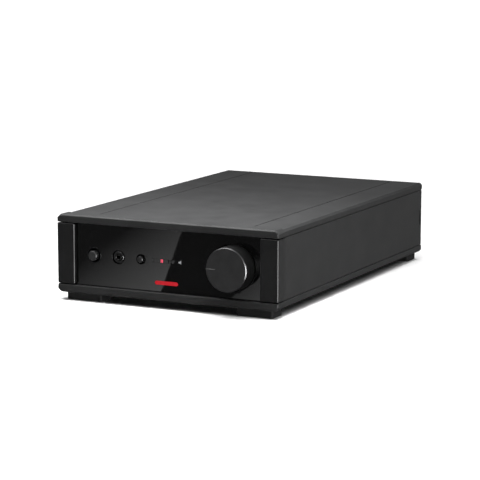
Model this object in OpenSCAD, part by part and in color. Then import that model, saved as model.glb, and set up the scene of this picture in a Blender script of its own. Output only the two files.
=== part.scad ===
// Desktop digital-to-analogue converter with a volume control, in a half-width metal case.
// +Z is up, the front faces -Y, and the origin is at the bottom centre of the whole object's box.

/* [Case] */
// Width over the front frame
case_w = 216; // [200:1:230]
// Depth from the front of the frame to the back of the rear panel
case_d = 339; // [320:1:360]
// Height of the front frame's top above the surface the feet stand on
case_h = 77.2; // [74:0.1:80]
// Depth of the front frame, from front to back
frame_d = 14; // [10:0.5:18]
// How far the front frame stands proud of each side
frame_proud = 1; // [0.5:0.1:3]
// How far the front frame stands above the main lid
frame_rise = 1.2; // [0.5:0.1:2]
// Height of the lid's front lip
lid_lip = 7.1; // [6:0.1:9]
// Height of the base's front lip
base_lip = 7.3; // [5:0.1:8]
// Thickness of the case's metal
wall = 2; // [1.5:0.1:3]
// Edge break along the lid and the base
edge = 2; // [1:0.1:3]
// Edge break along the sides of the front frame
frame_edge = 3.2; // [1:0.1:4]
// Height of the shadow gap under the lid and over the base
reveal = 0.9; // [0.5:0.1:1.5]
// Distance of each groove in the lid from the case's side
groove_in = 32; // [15:1:40]
// Width and depth of those grooves
groove = 1; // [0.5:0.1:1.5]

/* [Front] */
// Width of each corner pillar
pillar_w = 17.4; // [12:0.2:22]
// How far the fascia lies behind the front of the frame
recess = 4; // [2:0.5:6]
// Thickness of the fascia
fascia_t = 3; // [2:0.5:4]
// Height of the row of controls
row_z = 41.9; // [38:0.1:46]
// Place of the power button across the front
power_x = -72.5; // [-80:0.5:-70]
// Place of the headphone socket across the front
phones_x = -48.2; // [-52:0.2:-44]
// Place of the source button across the front
source_x = -25.8; // [-30:0.2:-22]
// Place of the first input light across the front
light_x = -14.2; // [-18:0.1:-12]
// Distance between the lights
light_pitch = 8.95; // [7:0.05:10]
// Place of the volume knob across the front
knob_x = 64.5; // [55:0.1:68]

/* [Volume knob] */
// Radius of the volume knob
knob_r = 19.3; // [15:0.1:21]
// How far the knob stands in front of the frame
knob_reach = 12.2; // [8:0.1:16]
// Radius of the hole in the fascia around the knob
knob_hole_r = 20.9; // [20:0.1:23]
// Radius of the volume control's shaft
shaft_r = 3; // [2.5:0.5:3]

/* [Buttons] */
// Radius of the power button's cap
power_r = 4.4; // [3.5:0.1:5]
// How far the power button goes in
power_travel = 3; // [1:0.5:3]
// Radius of the source button's cap
source_r = 2.8; // [2:0.1:3.5]
// How far the source button goes in
source_travel = 0.8; // [0.3:0.1:1.2]

/* [Feet] */
// Height of the feet
foot_h = 7; // [5:0.1:9]
// Width of each foot
foot_w = 35; // [25:0.5:40]
// Depth of each foot, from front to back
foot_d = 19.5; // [15:0.5:30]
// Distance of the feet from the frame's side
foot_in_x = 6.9; // [4:0.1:15]
// Distance of the front feet from the front
foot_in_front = 4.5; // [3:0.5:15]
// Distance of the rear feet from the back
foot_in_back = 0.5; // [0.5:0.5:15]

/* [Sockets] */
// Height of the row of sockets on the back
socket_z = 29; // [27:0.5:34]
// How far the phono sockets stand behind the rear panel
phono_reach = 9; // [8:0.5:11]
// Outer radius of a phono socket's shell
phono_r = 4.15; // [4:0.05:4.3]
// Place of the mains inlet across the back
inlet_x = 74; // [70:1:76]
// Height of the middle of the mains inlet
inlet_z = 40; // [38:1:43]

/* [Inside] */
// Height of the main board above the floor
standoff_h = 6; // [5:0.5:8]
// Thickness of the circuit boards
board_t = 1.6; // [1.2:0.1:2]
// Outer radius of the transformer
coil_r = 38; // [30:1:40]
// Height of the transformer's winding
coil_h = 34; // [25:1:38]

/* [Hidden] */
$fn = 64;

// Stations along Y
total_d = knob_reach + case_d + phono_reach;
y_front = -total_d / 2 + knob_reach;
y_back = y_front + case_d;
y_main = y_front + frame_d;
y_fascia = y_front + recess;
subframe_t = 1.5;
y_subframe = y_fascia + fascia_t;
y_behind = y_subframe + subframe_t;
y_board = y_behind + 15;
y_inside = y_back - wall;

// Heights
lid_z = case_h - lid_lip;
main_top = case_h - frame_rise;
base_top = foot_h + base_lip;
main_base = foot_h + 0.6;
floor_z = main_base + wall;
side_low = base_top + reveal;
side_high = lid_z - reveal;
board_z = floor_z + standoff_h;
chip_z = board_z + board_t;

// Widths
half_w = case_w / 2;
main_half = half_w - frame_proud;
opening_half = half_w - pillar_w;

// Finishes
charcoal = [0.20, 0.20, 0.21];
satin_black = [0.09, 0.09, 0.10];
gloss_black = [0.02, 0.02, 0.02];
rubber_black = [0.07, 0.07, 0.07];
zinc = [0.75, 0.76, 0.78];
gold = [0.83, 0.68, 0.35];
board_green = [0.05, 0.30, 0.16];
clear = 0.15;

light_gap = 0.1;
pointer_t = 0.2;
bulb_r = 1.5;
screw_r = 1.5;
foot_screw_z = 2.5;
socket_y = y_inside - 10;
socket_places = [["left", -84], ["right", -64], ["coaxial", -38]];
optical_x = -16;
usb_x = 8;
transformer_x = -48;
transformer_y = y_board + 62;
main_board_x = [-97, 48];
main_board_y = [transformer_y + coil_r + 8, y_inside - 3];
standoff_places = [for (x = [main_board_x[0] + 6, main_board_x[1] - 6],
                        y = [main_board_y[0] + 6, main_board_y[1] - 22]) [x, y]];
lid_screw_places = [-82, 0, 82];
lid_screw_z = main_top - wall - 3.3;
panel_screw_x = 97;
panel_screw_z = [21, 61];

// ---------- shared shapes ----------

// An outline in X and Z, drawn out along Y from y0 to y1
module along_y(y0, y1) {
    translate([0, y1, 0]) rotate([90, 0, 0]) linear_extrude(y1 - y0) children();
}

// A round bar along Y from y0 to y1, at x and z
module bar_y(x, z, r, y0, y1) {
    translate([x, y1, z]) rotate([90, 0, 0]) cylinder(r = r, h = y1 - y0);
}

// A ring's outline (radius, place along Y) turned about the Y axis at x and z
module turned_y(x, z) {
    translate([x, 0, z]) rotate([-90, 0, 0]) rotate_extrude() children();
}

// A box given by its lowest and highest corners
module span(low, high) {
    translate(low) cube(high - low);
}

// A box outline with its top corners cut off at 45 degrees
module top_cut(half, low, high, cut) {
    polygon([[-half, low], [half, low], [half, high - cut],
             [half - cut, high], [-half + cut, high], [-half, high - cut]]);
}

// A box outline with its bottom corners cut off at 45 degrees
module bottom_cut(half, low, high, cut) {
    polygon([[-half, high], [half, high], [half, low + cut],
             [half - cut, low], [-half + cut, low], [-half, low + cut]]);
}

// A wedge that breaks a horizontal front edge at y and z, over the whole width; up is 1 or -1
module front_edge_cut(y, z, up, cut) {
    rotate([90, 0, 90])
        linear_extrude(case_w + 2, center = true)
            polygon([[y - 1, z - up * cut], [y, z - up * cut], [y + cut, z],
                     [y + cut, z + up], [y - 1, z + up]]);
}

// A pan-head screw pointing along +Z, its head under z = 0
module screw(length, r = screw_r) {
    cylinder(r = r, h = length);
    translate([0, 0, -1.8]) cylinder(r = r * 1.9, h = 1.8);
}

// ---------- case ----------

// The top cover: a shallow channel with a deeper, proud lip at the front
module lid() {
    color(charcoal) difference() {
        union() {
            along_y(y_front, y_main) top_cut(half_w, lid_z, case_h, frame_edge);
            along_y(y_main, y_back) top_cut(main_half, lid_z - 0.5, main_top, edge);
        }
        along_y(y_main, y_back + 1)
            translate([-main_half + wall, lid_z - 1.5])
                square([2 * (main_half - wall), main_top - wall - lid_z + 1.5]);
        span([-opening_half, y_fascia - 0.2, lid_z - 1], [opening_half, y_main + 1, main_top - wall]);
        front_edge_cut(y_front, case_h, 1, 1.2);
        for (side = [-1, 1])
            translate([side * (half_w - groove_in), 0, main_top])
                span([-groove / 2, y_main, -groove], [groove / 2, y_back + 1, 2]);
    }
    color(charcoal)
        for (x = lid_screw_places)
            difference() {
                span([x - 6, y_inside - 2.5, lid_screw_z - 4], [x + 6, y_inside - 0.3, main_top - wall]);
                bar_y(x, lid_screw_z, screw_r, y_inside - 4, y_inside + 1);
            }
}

// The bottom tray: a flat floor with upturned edges and a proud lip at the front
module base_tray() {
    color(charcoal) difference() {
        union() {
            along_y(y_front, y_main) bottom_cut(half_w, foot_h, base_top, frame_edge);
            along_y(y_main, y_back) bottom_cut(main_half, main_base, base_top, edge);
        }
        span([-main_half + wall, y_main, floor_z], [main_half - wall, y_inside - wall, base_top + 1]);
        span([-opening_half, y_fascia - 0.2, floor_z], [opening_half, y_main + 1, base_top + 1]);
        front_edge_cut(y_front, foot_h, -1, 1.2);
        for (p = foot_places())
            translate([p[0], p[1], 0]) cylinder(r = screw_r, h = floor_z + 1);
        translate([transformer_x, transformer_y, 0]) cylinder(r = 2.5, h = floor_z + 1);
    }
}

// The right side wall, between the lid and the base, with a flange at the back for the rear panel
module side_wall() {
    outer = main_half - 0.2;
    step = 0.6;
    low = base_top + 0.3;
    high = lid_z - 0.8;
    back = y_inside - 0.1;
    color(charcoal) difference() {
        union() {
            span([outer - wall, y_main + 0.3, low], [outer, back, high]);
            span([panel_screw_x - 6, back - wall, low], [outer, back, high]);
        }
        span([outer - step, y_main, side_high], [outer + 1, y_back, lid_z]);
        span([outer - step, y_main, base_top], [outer + 1, y_back, side_low]);
        span([outer - 1, y_inside - 3, row_z - 7.3], [outer + 1, y_back, row_z + 7.3]);
        for (z = panel_screw_z) bar_y(panel_screw_x, z, screw_r, back - wall - 1, y_back);
    }
}

module left_side() mirror([1, 0, 0]) side_wall();
module right_side() side_wall();

// The right front corner pillar, its outer corner rounded and its ends' edges broken
module pillar() {
    round_r = 1.6;
    color(satin_black) difference() {
        translate([0, 0, side_low]) linear_extrude(side_high - side_low) union() {
            polygon([[opening_half, y_front], [half_w - round_r, y_front], [half_w - round_r, y_front + round_r],
                     [half_w, y_front + round_r], [half_w, y_main], [opening_half, y_main]]);
            translate([half_w - round_r, y_front + round_r]) circle(round_r);
        }
        front_edge_cut(y_front, side_high, 1, 0.8);
        front_edge_cut(y_front, side_low, -1, 0.8);
    }
}

module left_pillar() mirror([1, 0, 0]) pillar();
module right_pillar() pillar();

// The gloss front, with a hole for each control and slot for each light
module fascia() {
    color(gloss_black) difference() {
        span([-opening_half + 0.3, y_fascia, base_top + 0.3],
             [opening_half - 0.3, y_subframe, lid_z - 0.3]);
        bar_y(knob_x, row_z, knob_hole_r, y_fascia - 1, y_subframe + 1);
        bar_y(power_x, row_z, 7, y_fascia - 1, y_subframe + 1);
        bar_y(phones_x, row_z, 6.2, y_fascia - 1, y_subframe + 1);
        bar_y(source_x, row_z, 4.5, y_fascia - 1, y_subframe + 1);
        for (n = [1:3]) light_outline(n, y_fascia - 1, y_subframe + 1);
        mute_outline(y_fascia - 1, y_subframe + 1);
        status_outline(y_fascia - 1, y_subframe + 1);
    }
}

// The steel plate behind the fascia that carries the controls
module front_subframe() {
    mid = y_subframe + subframe_t / 2;
    color(satin_black) difference() {
        span([-opening_half + 1, y_subframe, floor_z + 0.2], [opening_half - 1, y_behind, lid_z - 1]);
        bar_y(knob_x, row_z, 3.6, y_subframe - 1, y_behind + 1);
        bar_y(power_x, row_z, 5, y_subframe - 1, y_behind + 1);
        bar_y(phones_x, row_z, 3.1, y_subframe - 1, y_behind + 1);
        bar_y(source_x, row_z, 3.5, y_subframe - 1, y_behind + 1);
        span([light_x - 3, y_subframe - 1, row_z - 3], [mute_x() + 4, y_behind + 1, row_z + 3]);
        span([status_x() - 13, y_subframe - 1, status_z() - 3.5],
             [status_x() + 13, y_behind + 1, status_z() + 3.5]);
        bar_y(knob_x - 40, row_z, 4, mid - 2, mid + 2);
    }
    color(satin_black)
        span([-opening_half + 12, y_behind, floor_z + 0.2], [opening_half - 12, y_behind + 9, floor_z + 1.7]);
}

// The rear panel, with an opening for each socket; its upper part reaches up inside the lid
module rear_panel() {
    half = main_half - 0.3;
    color(charcoal) difference() {
        union() {
            span([-half, y_inside, base_top + 0.3], [half, y_back, lid_z - 0.8]);
            span([-half + wall + 0.3, y_inside, lid_z - 1], [half - wall - 0.3, y_back, main_top - wall - 0.3]);
        }
        for (s = socket_places) bar_y(s[1], socket_z, phono_r + 1.1, y_inside - 1, y_back + 1);
        span([usb_x - 6.2, y_inside - 1, socket_z - 5.8], [usb_x + 6.2, y_back + 1, socket_z + 5.8]);
        span([optical_x - 6.2, y_inside - 1, socket_z - 6.2], [optical_x + 6.2, y_back + 1, socket_z + 6.2]);
        span([inlet_x - 14.2, y_inside - 1, inlet_z - 17.2], [inlet_x + 14.2, y_back + 1, inlet_z + 17.2]);
        for (x = [-panel_screw_x, panel_screw_x], z = panel_screw_z)
            bar_y(x, z, screw_r, y_inside - 1, y_back + 1);
        for (x = lid_screw_places) bar_y(x, lid_screw_z, screw_r, y_inside - 1, y_back + 1);
    }
}

// Three screws that hold the lid to the rear panel
module lid_screws() {
    color(zinc)
        for (x = lid_screw_places)
            translate([x, y_back, lid_screw_z]) rotate([90, 0, 0]) screw(4.5);
}

// Four screws at the corners of the rear panel
module rear_panel_screws() {
    color(zinc)
        for (x = [-panel_screw_x, panel_screw_x], z = panel_screw_z)
            translate([x, y_back, z]) rotate([90, 0, 0]) screw(6);
}

// ---------- feet ----------

// Centres of the four feet: front left, front right, rear left, rear right
function foot_places() = [
    for (y = [y_front + foot_in_front + foot_d / 2, y_back - foot_in_back - foot_d / 2],
         side = [-1, 1])
        [side * (half_w - foot_in_x - foot_w / 2), y]];

// One rubber foot with rounded corners and a recess for its screw; it meets the base at height top
module foot(place, top) {
    round_r = 2;
    hx = foot_w / 2 - round_r;
    hy = foot_d / 2 - round_r;
    color(rubber_black) translate([place[0], place[1], 0]) difference() {
        linear_extrude(top) union() {
            square([foot_w, 2 * hy], center = true);
            square([2 * hx, foot_d], center = true);
            for (x = [-hx, hx], y = [-hy, hy]) translate([x, y]) circle(round_r);
        }
        translate([0, 0, -1]) cylinder(r = screw_r, h = top + 2);
        translate([0, 0, -1]) cylinder(r = 4.5, h = foot_screw_z + 1);
    }
}

module foot_front_left() foot(foot_places()[0], foot_h);
module foot_front_right() foot(foot_places()[1], foot_h);
module foot_rear_left() foot(foot_places()[2], main_base);
module foot_rear_right() foot(foot_places()[3], main_base);

// The screws up through the feet
module foot_screws() {
    color(zinc)
        for (p = foot_places()) translate([p[0], p[1], foot_screw_z]) {
            cylinder(r = screw_r, h = floor_z - foot_screw_z + 1);
            translate([0, 0, -1.6]) cylinder(r = 3, h = 1.6);
        }
}

// ---------- volume control ----------

// The turned knob, bored for the shaft, with a hollow at the back for the nut
module volume_knob() {
    front = y_front - knob_reach;
    back = y_fascia + 1.5;
    color(satin_black) difference() {
        turned_y(knob_x, row_z)
            polygon([[0, front], [knob_r - 1, front], [knob_r, front + 1], [knob_r, back],
                     [8, back], [8, back - 6], [shaft_r, back - 6], [shaft_r, front + 5], [0, front + 5]]);
        pointer_span(front - 1, front + pointer_t);
    }
}

// The pointer's shape on the knob, from y0 to y1
module pointer_span(y0, y1) {
    start = knob_x - knob_r + 1.2;
    span([start, y0, row_z - 0.55], [start + 8, y1, row_z + 0.55]);
}

// The white line on the knob's face, pointing to nine o'clock
module knob_pointer() {
    front = y_front - knob_reach;
    color("white") pointer_span(front, front + pointer_t);
}

// The control's shaft
module volume_shaft() {
    front = y_front - knob_reach + 5;
    color(zinc) bar_y(knob_x, row_z, shaft_r, front, y_behind + 3);
}

// The sealed volume control with its threaded bush and pins
module volume_control() {
    bush_front = y_subframe - 5.2;
    clearance = 0.05;
    color(zinc) {
        difference() {
            union() {
                span([knob_x - 8, y_behind, row_z - 9], [knob_x + 8, y_behind + 9, row_z + 8]);
                bar_y(knob_x, row_z, 3.5, bush_front, y_behind);
            }
            bar_y(knob_x, row_z, shaft_r + clearance, bush_front - 1, y_behind + 3.3);
        }
        for (x = [-5, 0, 5], z = [-6, 6])
            bar_y(knob_x + x, row_z + z, 0.5, y_behind + 9, y_board);
    }
}

// The nut that clamps the control to the subframe
module volume_control_nut() {
    color(zinc) difference() {
        translate([knob_x, y_subframe, row_z]) rotate([90, 0, 0]) cylinder(r = 5.8, h = 2, $fn = 6);
        bar_y(knob_x, row_z, 3.5, y_subframe - 3, y_subframe + 1);
    }
}

// ---------- buttons ----------

// The power button's round cap on its square stem
module power_button() {
    front = y_fascia - 4;
    color(satin_black) {
        turned_y(power_x, row_z)
            polygon([[0, front], [power_r - 1, front], [power_r - 0.3, front + 0.3], [power_r, front + 1],
                     [power_r, y_subframe + 0.2], [0, y_subframe + 0.2]]);
        span([power_x - 1.5, y_subframe + 0.2, row_z - 1.5], [power_x + 1.5, y_behind + 6.5, row_z + 1.5]);
    }
}

// The dished ring around the power button
module power_button_ring() {
    outer = 7;
    inner = power_r + 0.35;
    color(satin_black) turned_y(power_x, row_z)
        polygon([[outer, y_fascia - 0.3], [outer, y_subframe], [inner, y_subframe], [inner, y_fascia + 1.8],
                 [outer - 0.5, y_fascia - 0.3]]);
}

// The latching push switch that the power button works
module power_switch() {
    color("dimgray") difference() {
        span([power_x - 6, y_behind + 2, row_z - 6], [power_x + 6, y_board, row_z + 6]);
        span([power_x - 2, y_behind + 1, row_z - 2], [power_x + 2, y_behind + 10.5, row_z + 2]);
    }
}

// The small source button, with a flange that keeps it behind the fascia
module source_button() {
    front = y_fascia - 2.6;
    flange = y_behind + 0.3;
    color(satin_black) turned_y(source_x, row_z)
        polygon([[0, front], [source_r - 0.6, front], [source_r, front + 0.6], [source_r, flange],
                 [4, flange], [4, flange + 1.2], [1, flange + 1.2], [1, y_behind + 8], [0, y_behind + 8]]);
}

// The tact switch behind the source button
module source_switch() {
    color("dimgray")
        span([source_x - 3, y_behind + 9, row_z - 3], [source_x + 3, y_board, row_z + 3]);
}

// ---------- headphone socket ----------

// The socket for a 3.5 mm plug
module headphone_jack() {
    bore_r = 1.8;
    color("dimgray") difference() {
        union() {
            bar_y(phones_x, row_z, 3, y_fascia - 0.4, y_behind);
            span([phones_x - 5, y_behind, row_z - 5], [phones_x + 5, y_board, row_z + 6]);
        }
        bar_y(phones_x, row_z, bore_r, y_fascia - 1, y_board - 1.5);
    }
}

// The round nut and the washer behind it
module headphone_nut() {
    color(zinc) turned_y(phones_x, row_z)
        polygon([[3, y_fascia + 0.2], [4.3, y_fascia + 0.2], [4.9, y_fascia + 0.8], [4.9, y_fascia + 2.4],
                 [6, y_fascia + 2.4], [6, y_subframe], [3, y_subframe]]);
}

// ---------- lights ----------

function mute_x() = light_x + 3 * light_pitch;
function status_x() = light_x + 1.5 * light_pitch;
function status_z() = base_top + 8.2;

// Upright strokes of input light n, as many as its number
module light_outline(n, y0, y1, shrink = 0) {
    stroke = 0.7 - shrink;
    pitch = 1.3;
    tall = 3 - shrink;
    for (k = [0:n - 1])
        translate([light_x + (n - 1) * light_pitch + (k - (n - 1) / 2) * pitch, 0, row_z])
            span([-stroke / 2, y0, -tall / 2], [stroke / 2, y1, tall / 2]);
}

// The mute light's outline: a plain loudspeaker shape
module mute_outline(y0, y1, shrink = 0) {
    along_y(y0, y1) translate([mute_x(), row_z])
        polygon([[-1.6 + shrink, -0.7 + shrink], [-0.6, -0.7 + shrink], [1 - shrink, -1.7 + shrink],
                 [1 - shrink, 1.7 - shrink], [-0.6, 0.7 - shrink], [-1.6 + shrink, 0.7 - shrink]]);
}

// The status light's outline: a plain bar with round ends
module status_outline(y0, y1, shrink = 0) {
    half = 9.6;
    r = 1.75 - shrink;
    along_y(y0, y1) translate([status_x(), status_z()]) union() {
        square([2 * half, 2 * r], center = true);
        for (side = [-1, 1]) translate([side * half, 0]) circle(r);
    }
}

// Input light n as one clear piece: its strokes on a common back
module input_light(n) {
    middle = light_x + (n - 1) * light_pitch;
    color(n == 2 ? "red" : "lightgray") {
        light_outline(n, y_fascia - 0.05, y_subframe, 2 * light_gap);
        span([middle - 2.4, y_subframe, row_z - 2.4], [middle + 2.4, y_behind + 7, row_z + 2.4]);
    }
}

module input_light_1() input_light(1);
module input_light_2() input_light(2);
module input_light_3() input_light(3);

module mute_light() {
    color("white") {
        mute_outline(y_fascia - 0.05, y_subframe, light_gap);
        span([mute_x() - 2.4, y_subframe, row_z - 2.4], [mute_x() + 2.4, y_behind + 7, row_z + 2.4]);
    }
}

module status_light() {
    color("red") {
        status_outline(y_fascia - 0.05, y_subframe, light_gap);
        span([status_x() - 12, y_subframe, status_z() - 2.6], [status_x() + 12, y_behind + 7, status_z() + 2.6]);
    }
}

// One lamp on the front board behind each light, and three behind the bar
module indicator_leds() {
    places = concat([for (n = [0:3]) [light_x + n * light_pitch, row_z]],
                    [for (k = [-1:1]) [status_x() + k * 8, status_z()]]);
    color("lightgray")
        for (p = places) bar_y(p[0], p[1], bulb_r, y_behind + 7.2, y_board);
}

// The infrared receiver that looks through the fascia
module remote_receiver() {
    x = knob_x - 40;
    color("black") {
        span([x - 3, y_behind + 8, row_z - 4], [x + 3, y_board, row_z + 4]);
        bar_y(x, row_z, 2, y_behind + 6, y_behind + 8);
    }
}

// ---------- boards ----------

module front_board() {
    color(board_green)
        span([-84, y_board, floor_z + 6], [82, y_board + board_t, lid_z - 8]);
}

// The flat cable from the front board to the main board
module ribbon_cable() {
    t = 1;
    x0 = 12;
    y0 = y_board + board_t;
    y1 = main_board_y[0] + 3;
    low = chip_z + 1;
    high = row_z - 8;
    color("lightgray") translate([x0, 0, 0]) rotate([90, 0, 90]) linear_extrude(26)
        polygon([[y0, high], [y0 + 4, high], [y0 + 12, high - 8], [y1 - 8, low + t], [y1, low + t],
                 [y1, chip_z], [y1 - t, chip_z], [y1 - t, low], [y1 - 8.4, low],
                 [y0 + 11.6, high - 8 - t], [y0 + 3.6, high - t], [y0, high - t]]);
}

module main_board() {
    color(board_green) difference() {
        span([main_board_x[0], main_board_y[0], board_z], [main_board_x[1], main_board_y[1], chip_z]);
        for (p = standoff_places)
            translate([p[0], p[1], board_z - 1]) cylinder(r = screw_r, h = board_t + 2);
    }
}

// Four pillars under the main board
module board_standoffs() {
    color(zinc)
        for (p = standoff_places) translate([p[0], p[1], floor_z]) difference() {
            cylinder(r = 3, h = standoff_h);
            translate([0, 0, -1]) cylinder(r = screw_r, h = standoff_h + 2);
        }
}

// The screws down through the main board
module board_screws() {
    color(zinc)
        for (p = standoff_places)
            translate([p[0], p[1], chip_z]) rotate([180, 0, 0]) screw(6);
}

// ---------- power supply ----------

// The ring-shaped transformer
module transformer() {
    low = floor_z + 1.5;
    color([0.75, 0.55, 0.25]) translate([transformer_x, transformer_y, low]) rotate_extrude()
        polygon([[14, 3], [17, 0], [coil_r - 4, 0], [coil_r, 4], [coil_r, coil_h - 4],
                 [coil_r - 4, coil_h], [17, coil_h], [14, coil_h - 3]]);
}

// The rubber pads under and over the winding, and the dished washer on top
module transformer_pads() {
    low = floor_z;
    top = floor_z + 1.5 + coil_h;
    color(rubber_black) translate([transformer_x, transformer_y, 0]) {
        for (z = [low, top])
            translate([0, 0, z]) difference() {
                cylinder(r = coil_r - 6, h = 1.5);
                translate([0, 0, -1]) cylinder(r = 2.6, h = 4);
            }
    }
}

// The bolt through the middle of the transformer, with its plate and nut
module transformer_bolt() {
    top = floor_z + 3 + coil_h;
    color(zinc) translate([transformer_x, transformer_y, 0]) {
        translate([0, 0, main_base - 1.8]) cylinder(r = 4, h = 1.8);
        translate([0, 0, main_base]) cylinder(r = 2.5, h = top + 6 - main_base);
        translate([0, 0, top]) cylinder(r = 22, h = 1.5);
        translate([0, 0, top + 1.5]) cylinder(r = 4.6, h = 3.2, $fn = 6);
    }
}

// The mains inlet, with its recess for a plug above and the fuse drawer's slot below
module mains_inlet() {
    flange_y = y_back + 2.5;
    color("black") translate([inlet_x, 0, inlet_z]) difference() {
        union() {
            span([-16, y_back, -19], [16, flange_y, 19]);
            span([-14, y_inside - 24, -17], [14, y_back, 17]);
        }
        along_y(flange_y - 16.5, flange_y + 1) top_cut(12.1, -1.5, 14.7, 4.5);
        span([-11.2, y_inside - 20, -13.7], [11.2, flange_y + 1, -4.8]);
        for (p = pin_places())
            translate([p[0], 0, p[1]]) span([-1, y_inside - 30, -2], [1, y_back, 2]);
    }
}

// Centres of the three contact blades, from the middle of the inlet
function pin_places() = [[-7, 5.6], [7, 5.6], [0, 9.6]];

module inlet_pins() {
    color(zinc)
        for (p = pin_places())
            translate([inlet_x + p[0], 0, inlet_z + p[1]])
                span([-1, y_inside - 31, -2], [1, y_back - 2.5, 2]);
}

// The drawer that slides out below the inlet with the fuse in it
module fuse_drawer() {
    flange_y = y_back + 2.5;
    color("black") translate([inlet_x, 0, inlet_z]) difference() {
        union() {
            span([-10.9, y_inside - 18, -13.4], [10.9, flange_y, -5.1]);
            span([-10.9, flange_y, -13.4], [10.9, flange_y + 1.2, -5.1]);
        }
        span([-10.2, y_inside - 10, -11.7], [10.2, y_inside - 3.5, -4]);
        span([-4, flange_y + 0.4, -6.3], [4, flange_y + 2, -4]);
    }
}

// The glass fuse with its metal caps, lying across the drawer
module fuse() {
    y = y_inside - 6.8;
    z = inlet_z - 9;
    color("silver") {
        translate([inlet_x - 9.8, y, z]) rotate([0, 90, 0]) cylinder(r = 2.5, h = 19.6);
        for (x = [-10, 5])
            translate([inlet_x + x, y, z]) rotate([0, 90, 0]) cylinder(r = 2.7, h = 5);
    }
}

// Two wires from the inlet's blades to the transformer
module mains_wires() {
    wire_r = 1.3;
    gap = 5;
    z = inlet_z + 5.6;
    low = floor_z + 22;
    coil_side = transformer_x + coil_r;
    color("brown")
        for (k = [0:1]) {
            x = inlet_x + pin_places()[k][0];
            lane = 86 + gap * k;
            back = y_inside - 42 + gap * k;
            front = transformer_y - gap * k;
            ends = [[x, y_inside - 31 - wire_r, z], [x, back, z], [lane, back, z], [lane, front, z],
                    [coil_side + 4, front, z], [coil_side + 4, front, low], [coil_side + wire_r, front, low]];
            for (i = [0:len(ends) - 2]) wire(ends[i], ends[i + 1], wire_r);
        }
}

// A straight length of wire with round ends, along X, Y or Z
module wire(a, b, r) {
    d = b - a;
    turn = d[0] != 0 ? [0, d[0] > 0 ? 90 : -90, 0] : d[1] != 0 ? [d[1] > 0 ? -90 : 90, 0, 0]
         : [d[2] > 0 ? 0 : 180, 0, 0];
    translate(a) rotate(turn) cylinder(r = r, h = norm(d), $fn = 16);
    translate(a) sphere(r, $fn = 16);
    translate(b) sphere(r, $fn = 16);
}

// ---------- sockets ----------

// A phono socket: a shell and its collar behind the rear panel, and a body on the board
module phono(x) {
    tip = y_back + phono_reach;
    color(gold) difference() {
        union() {
            bar_y(x, socket_z, phono_r, y_inside, tip);
            bar_y(x, socket_z, phono_r + 1, y_inside, y_back + 1);
            span([x - 5, socket_y, chip_z], [x + 5, y_inside, socket_z + 5]);
        }
        turned_y(x, socket_z)
            polygon([[0, y_inside + 1], [3.5, y_inside + 1], [3.5, tip + 1], [0, tip + 1]]);
    }
    color("white") difference() {
        bar_y(x, socket_z, 3.5, y_inside + 1, tip - 0.4);
        bar_y(x, socket_z, 1.65, y_inside + 2, tip + 1);
    }
}

module left_output() phono(socket_places[0][1]);
module right_output() phono(socket_places[1][1]);
module coaxial_input() phono(socket_places[2][1]);

// A square USB socket with its tongue
module usb_socket() {
    x = usb_x;
    color("silver") difference() {
        union() {
            span([x - 6, y_inside - 14, chip_z], [x + 6, y_inside, socket_z + 5.6]);
            span([x - 6, y_inside, socket_z - 5.6], [x + 6, y_back + 0.6, socket_z + 5.6]);
        }
        translate([x, 0, 0]) along_y(y_inside - 7, y_back + 2) top_cut(4.3, socket_z - 4, socket_z + 4, 1.7);
    }
    color("white")
        span([x - 2.8, y_inside - 7, socket_z - 1.6], [x + 2.8, y_back - 2.4, socket_z + 1.6]);
}

// The optical input's housing, open towards the back
module optical_input() {
    x = optical_x;
    color("black") difference() {
        union() {
            span([x - 6, y_inside - 15, chip_z], [x + 6, y_inside, socket_z + 6]);
            span([x - 6, y_inside, socket_z - 6], [x + 6, y_back + 0.6, socket_z + 6]);
        }
        span([x - 4.6, y_inside - 9, socket_z - 4.6], [x + 4.6, y_back + 2, socket_z + 4.6]);
        bar_y(x, socket_z, 1.2, y_inside - 13, y_inside - 8);
        translate([x - 5.4, y_back - 0.6, socket_z + 3.9]) rotate([0, 90, 0]) cylinder(r = 0.65, h = 10.8);
    }
}

// The sprung flap that keeps dust out of the optical input
module optical_shutter() {
    x = optical_x;
    pin_y = y_back - 0.6;
    pin_z = socket_z + 3.9;
    color("dimgray") {
        span([x - 4.2, pin_y - 0.4, socket_z - 4.2], [x + 4.2, pin_y + 0.4, pin_z]);
        translate([x - 5.3, pin_y, pin_z]) rotate([0, 90, 0]) cylinder(r = 0.6, h = 10.6);
    }
}

// ---------- components on the main board ----------

// Four large electrolytic capacitors
module reservoir_capacitors() {
    color([0.12, 0.16, 0.25])
        for (x = [-8, 14], y = [0, 22])
            translate([main_board_x[0] + 40 + x, main_board_y[0] + 20 + y, chip_z]) {
                cylinder(r = 9, h = 30);
                translate([0, 0, 30]) cylinder(r = 8, h = 0.6);
            }
}

// A row of film capacitors by the outputs
module film_capacitors() {
    color("firebrick")
        for (x = [-90, -78, -66, -54], y = [0, 14])
            span([x, socket_y - 44 + y, chip_z], [x + 5, socket_y - 34 + y, chip_z + 9]);
}

// The bridge rectifier
module rectifier() {
    color("black")
        span([main_board_x[0] + 4, main_board_y[0] + 18, chip_z], [main_board_x[0] + 9, main_board_y[0] + 38, chip_z + 14]);
}

// Four voltage regulators on one finned heatsink
module regulators() {
    x = main_board_x[1] - 20;
    y = main_board_y[0] + 10;
    color("silver") {
        span([x, y, chip_z], [x + 3, y + 70, chip_z + 28]);
        for (k = [0:8])
            span([x + 3, y + 2 + k * 8, chip_z], [x + 14, y + 4 + k * 8, chip_z + 28]);
    }
    color("black")
        for (k = [0:3])
            span([x - 4.5, y + 5 + k * 17, chip_z + 3], [x, y + 15 + k * 17, chip_z + 18]);
}

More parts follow.
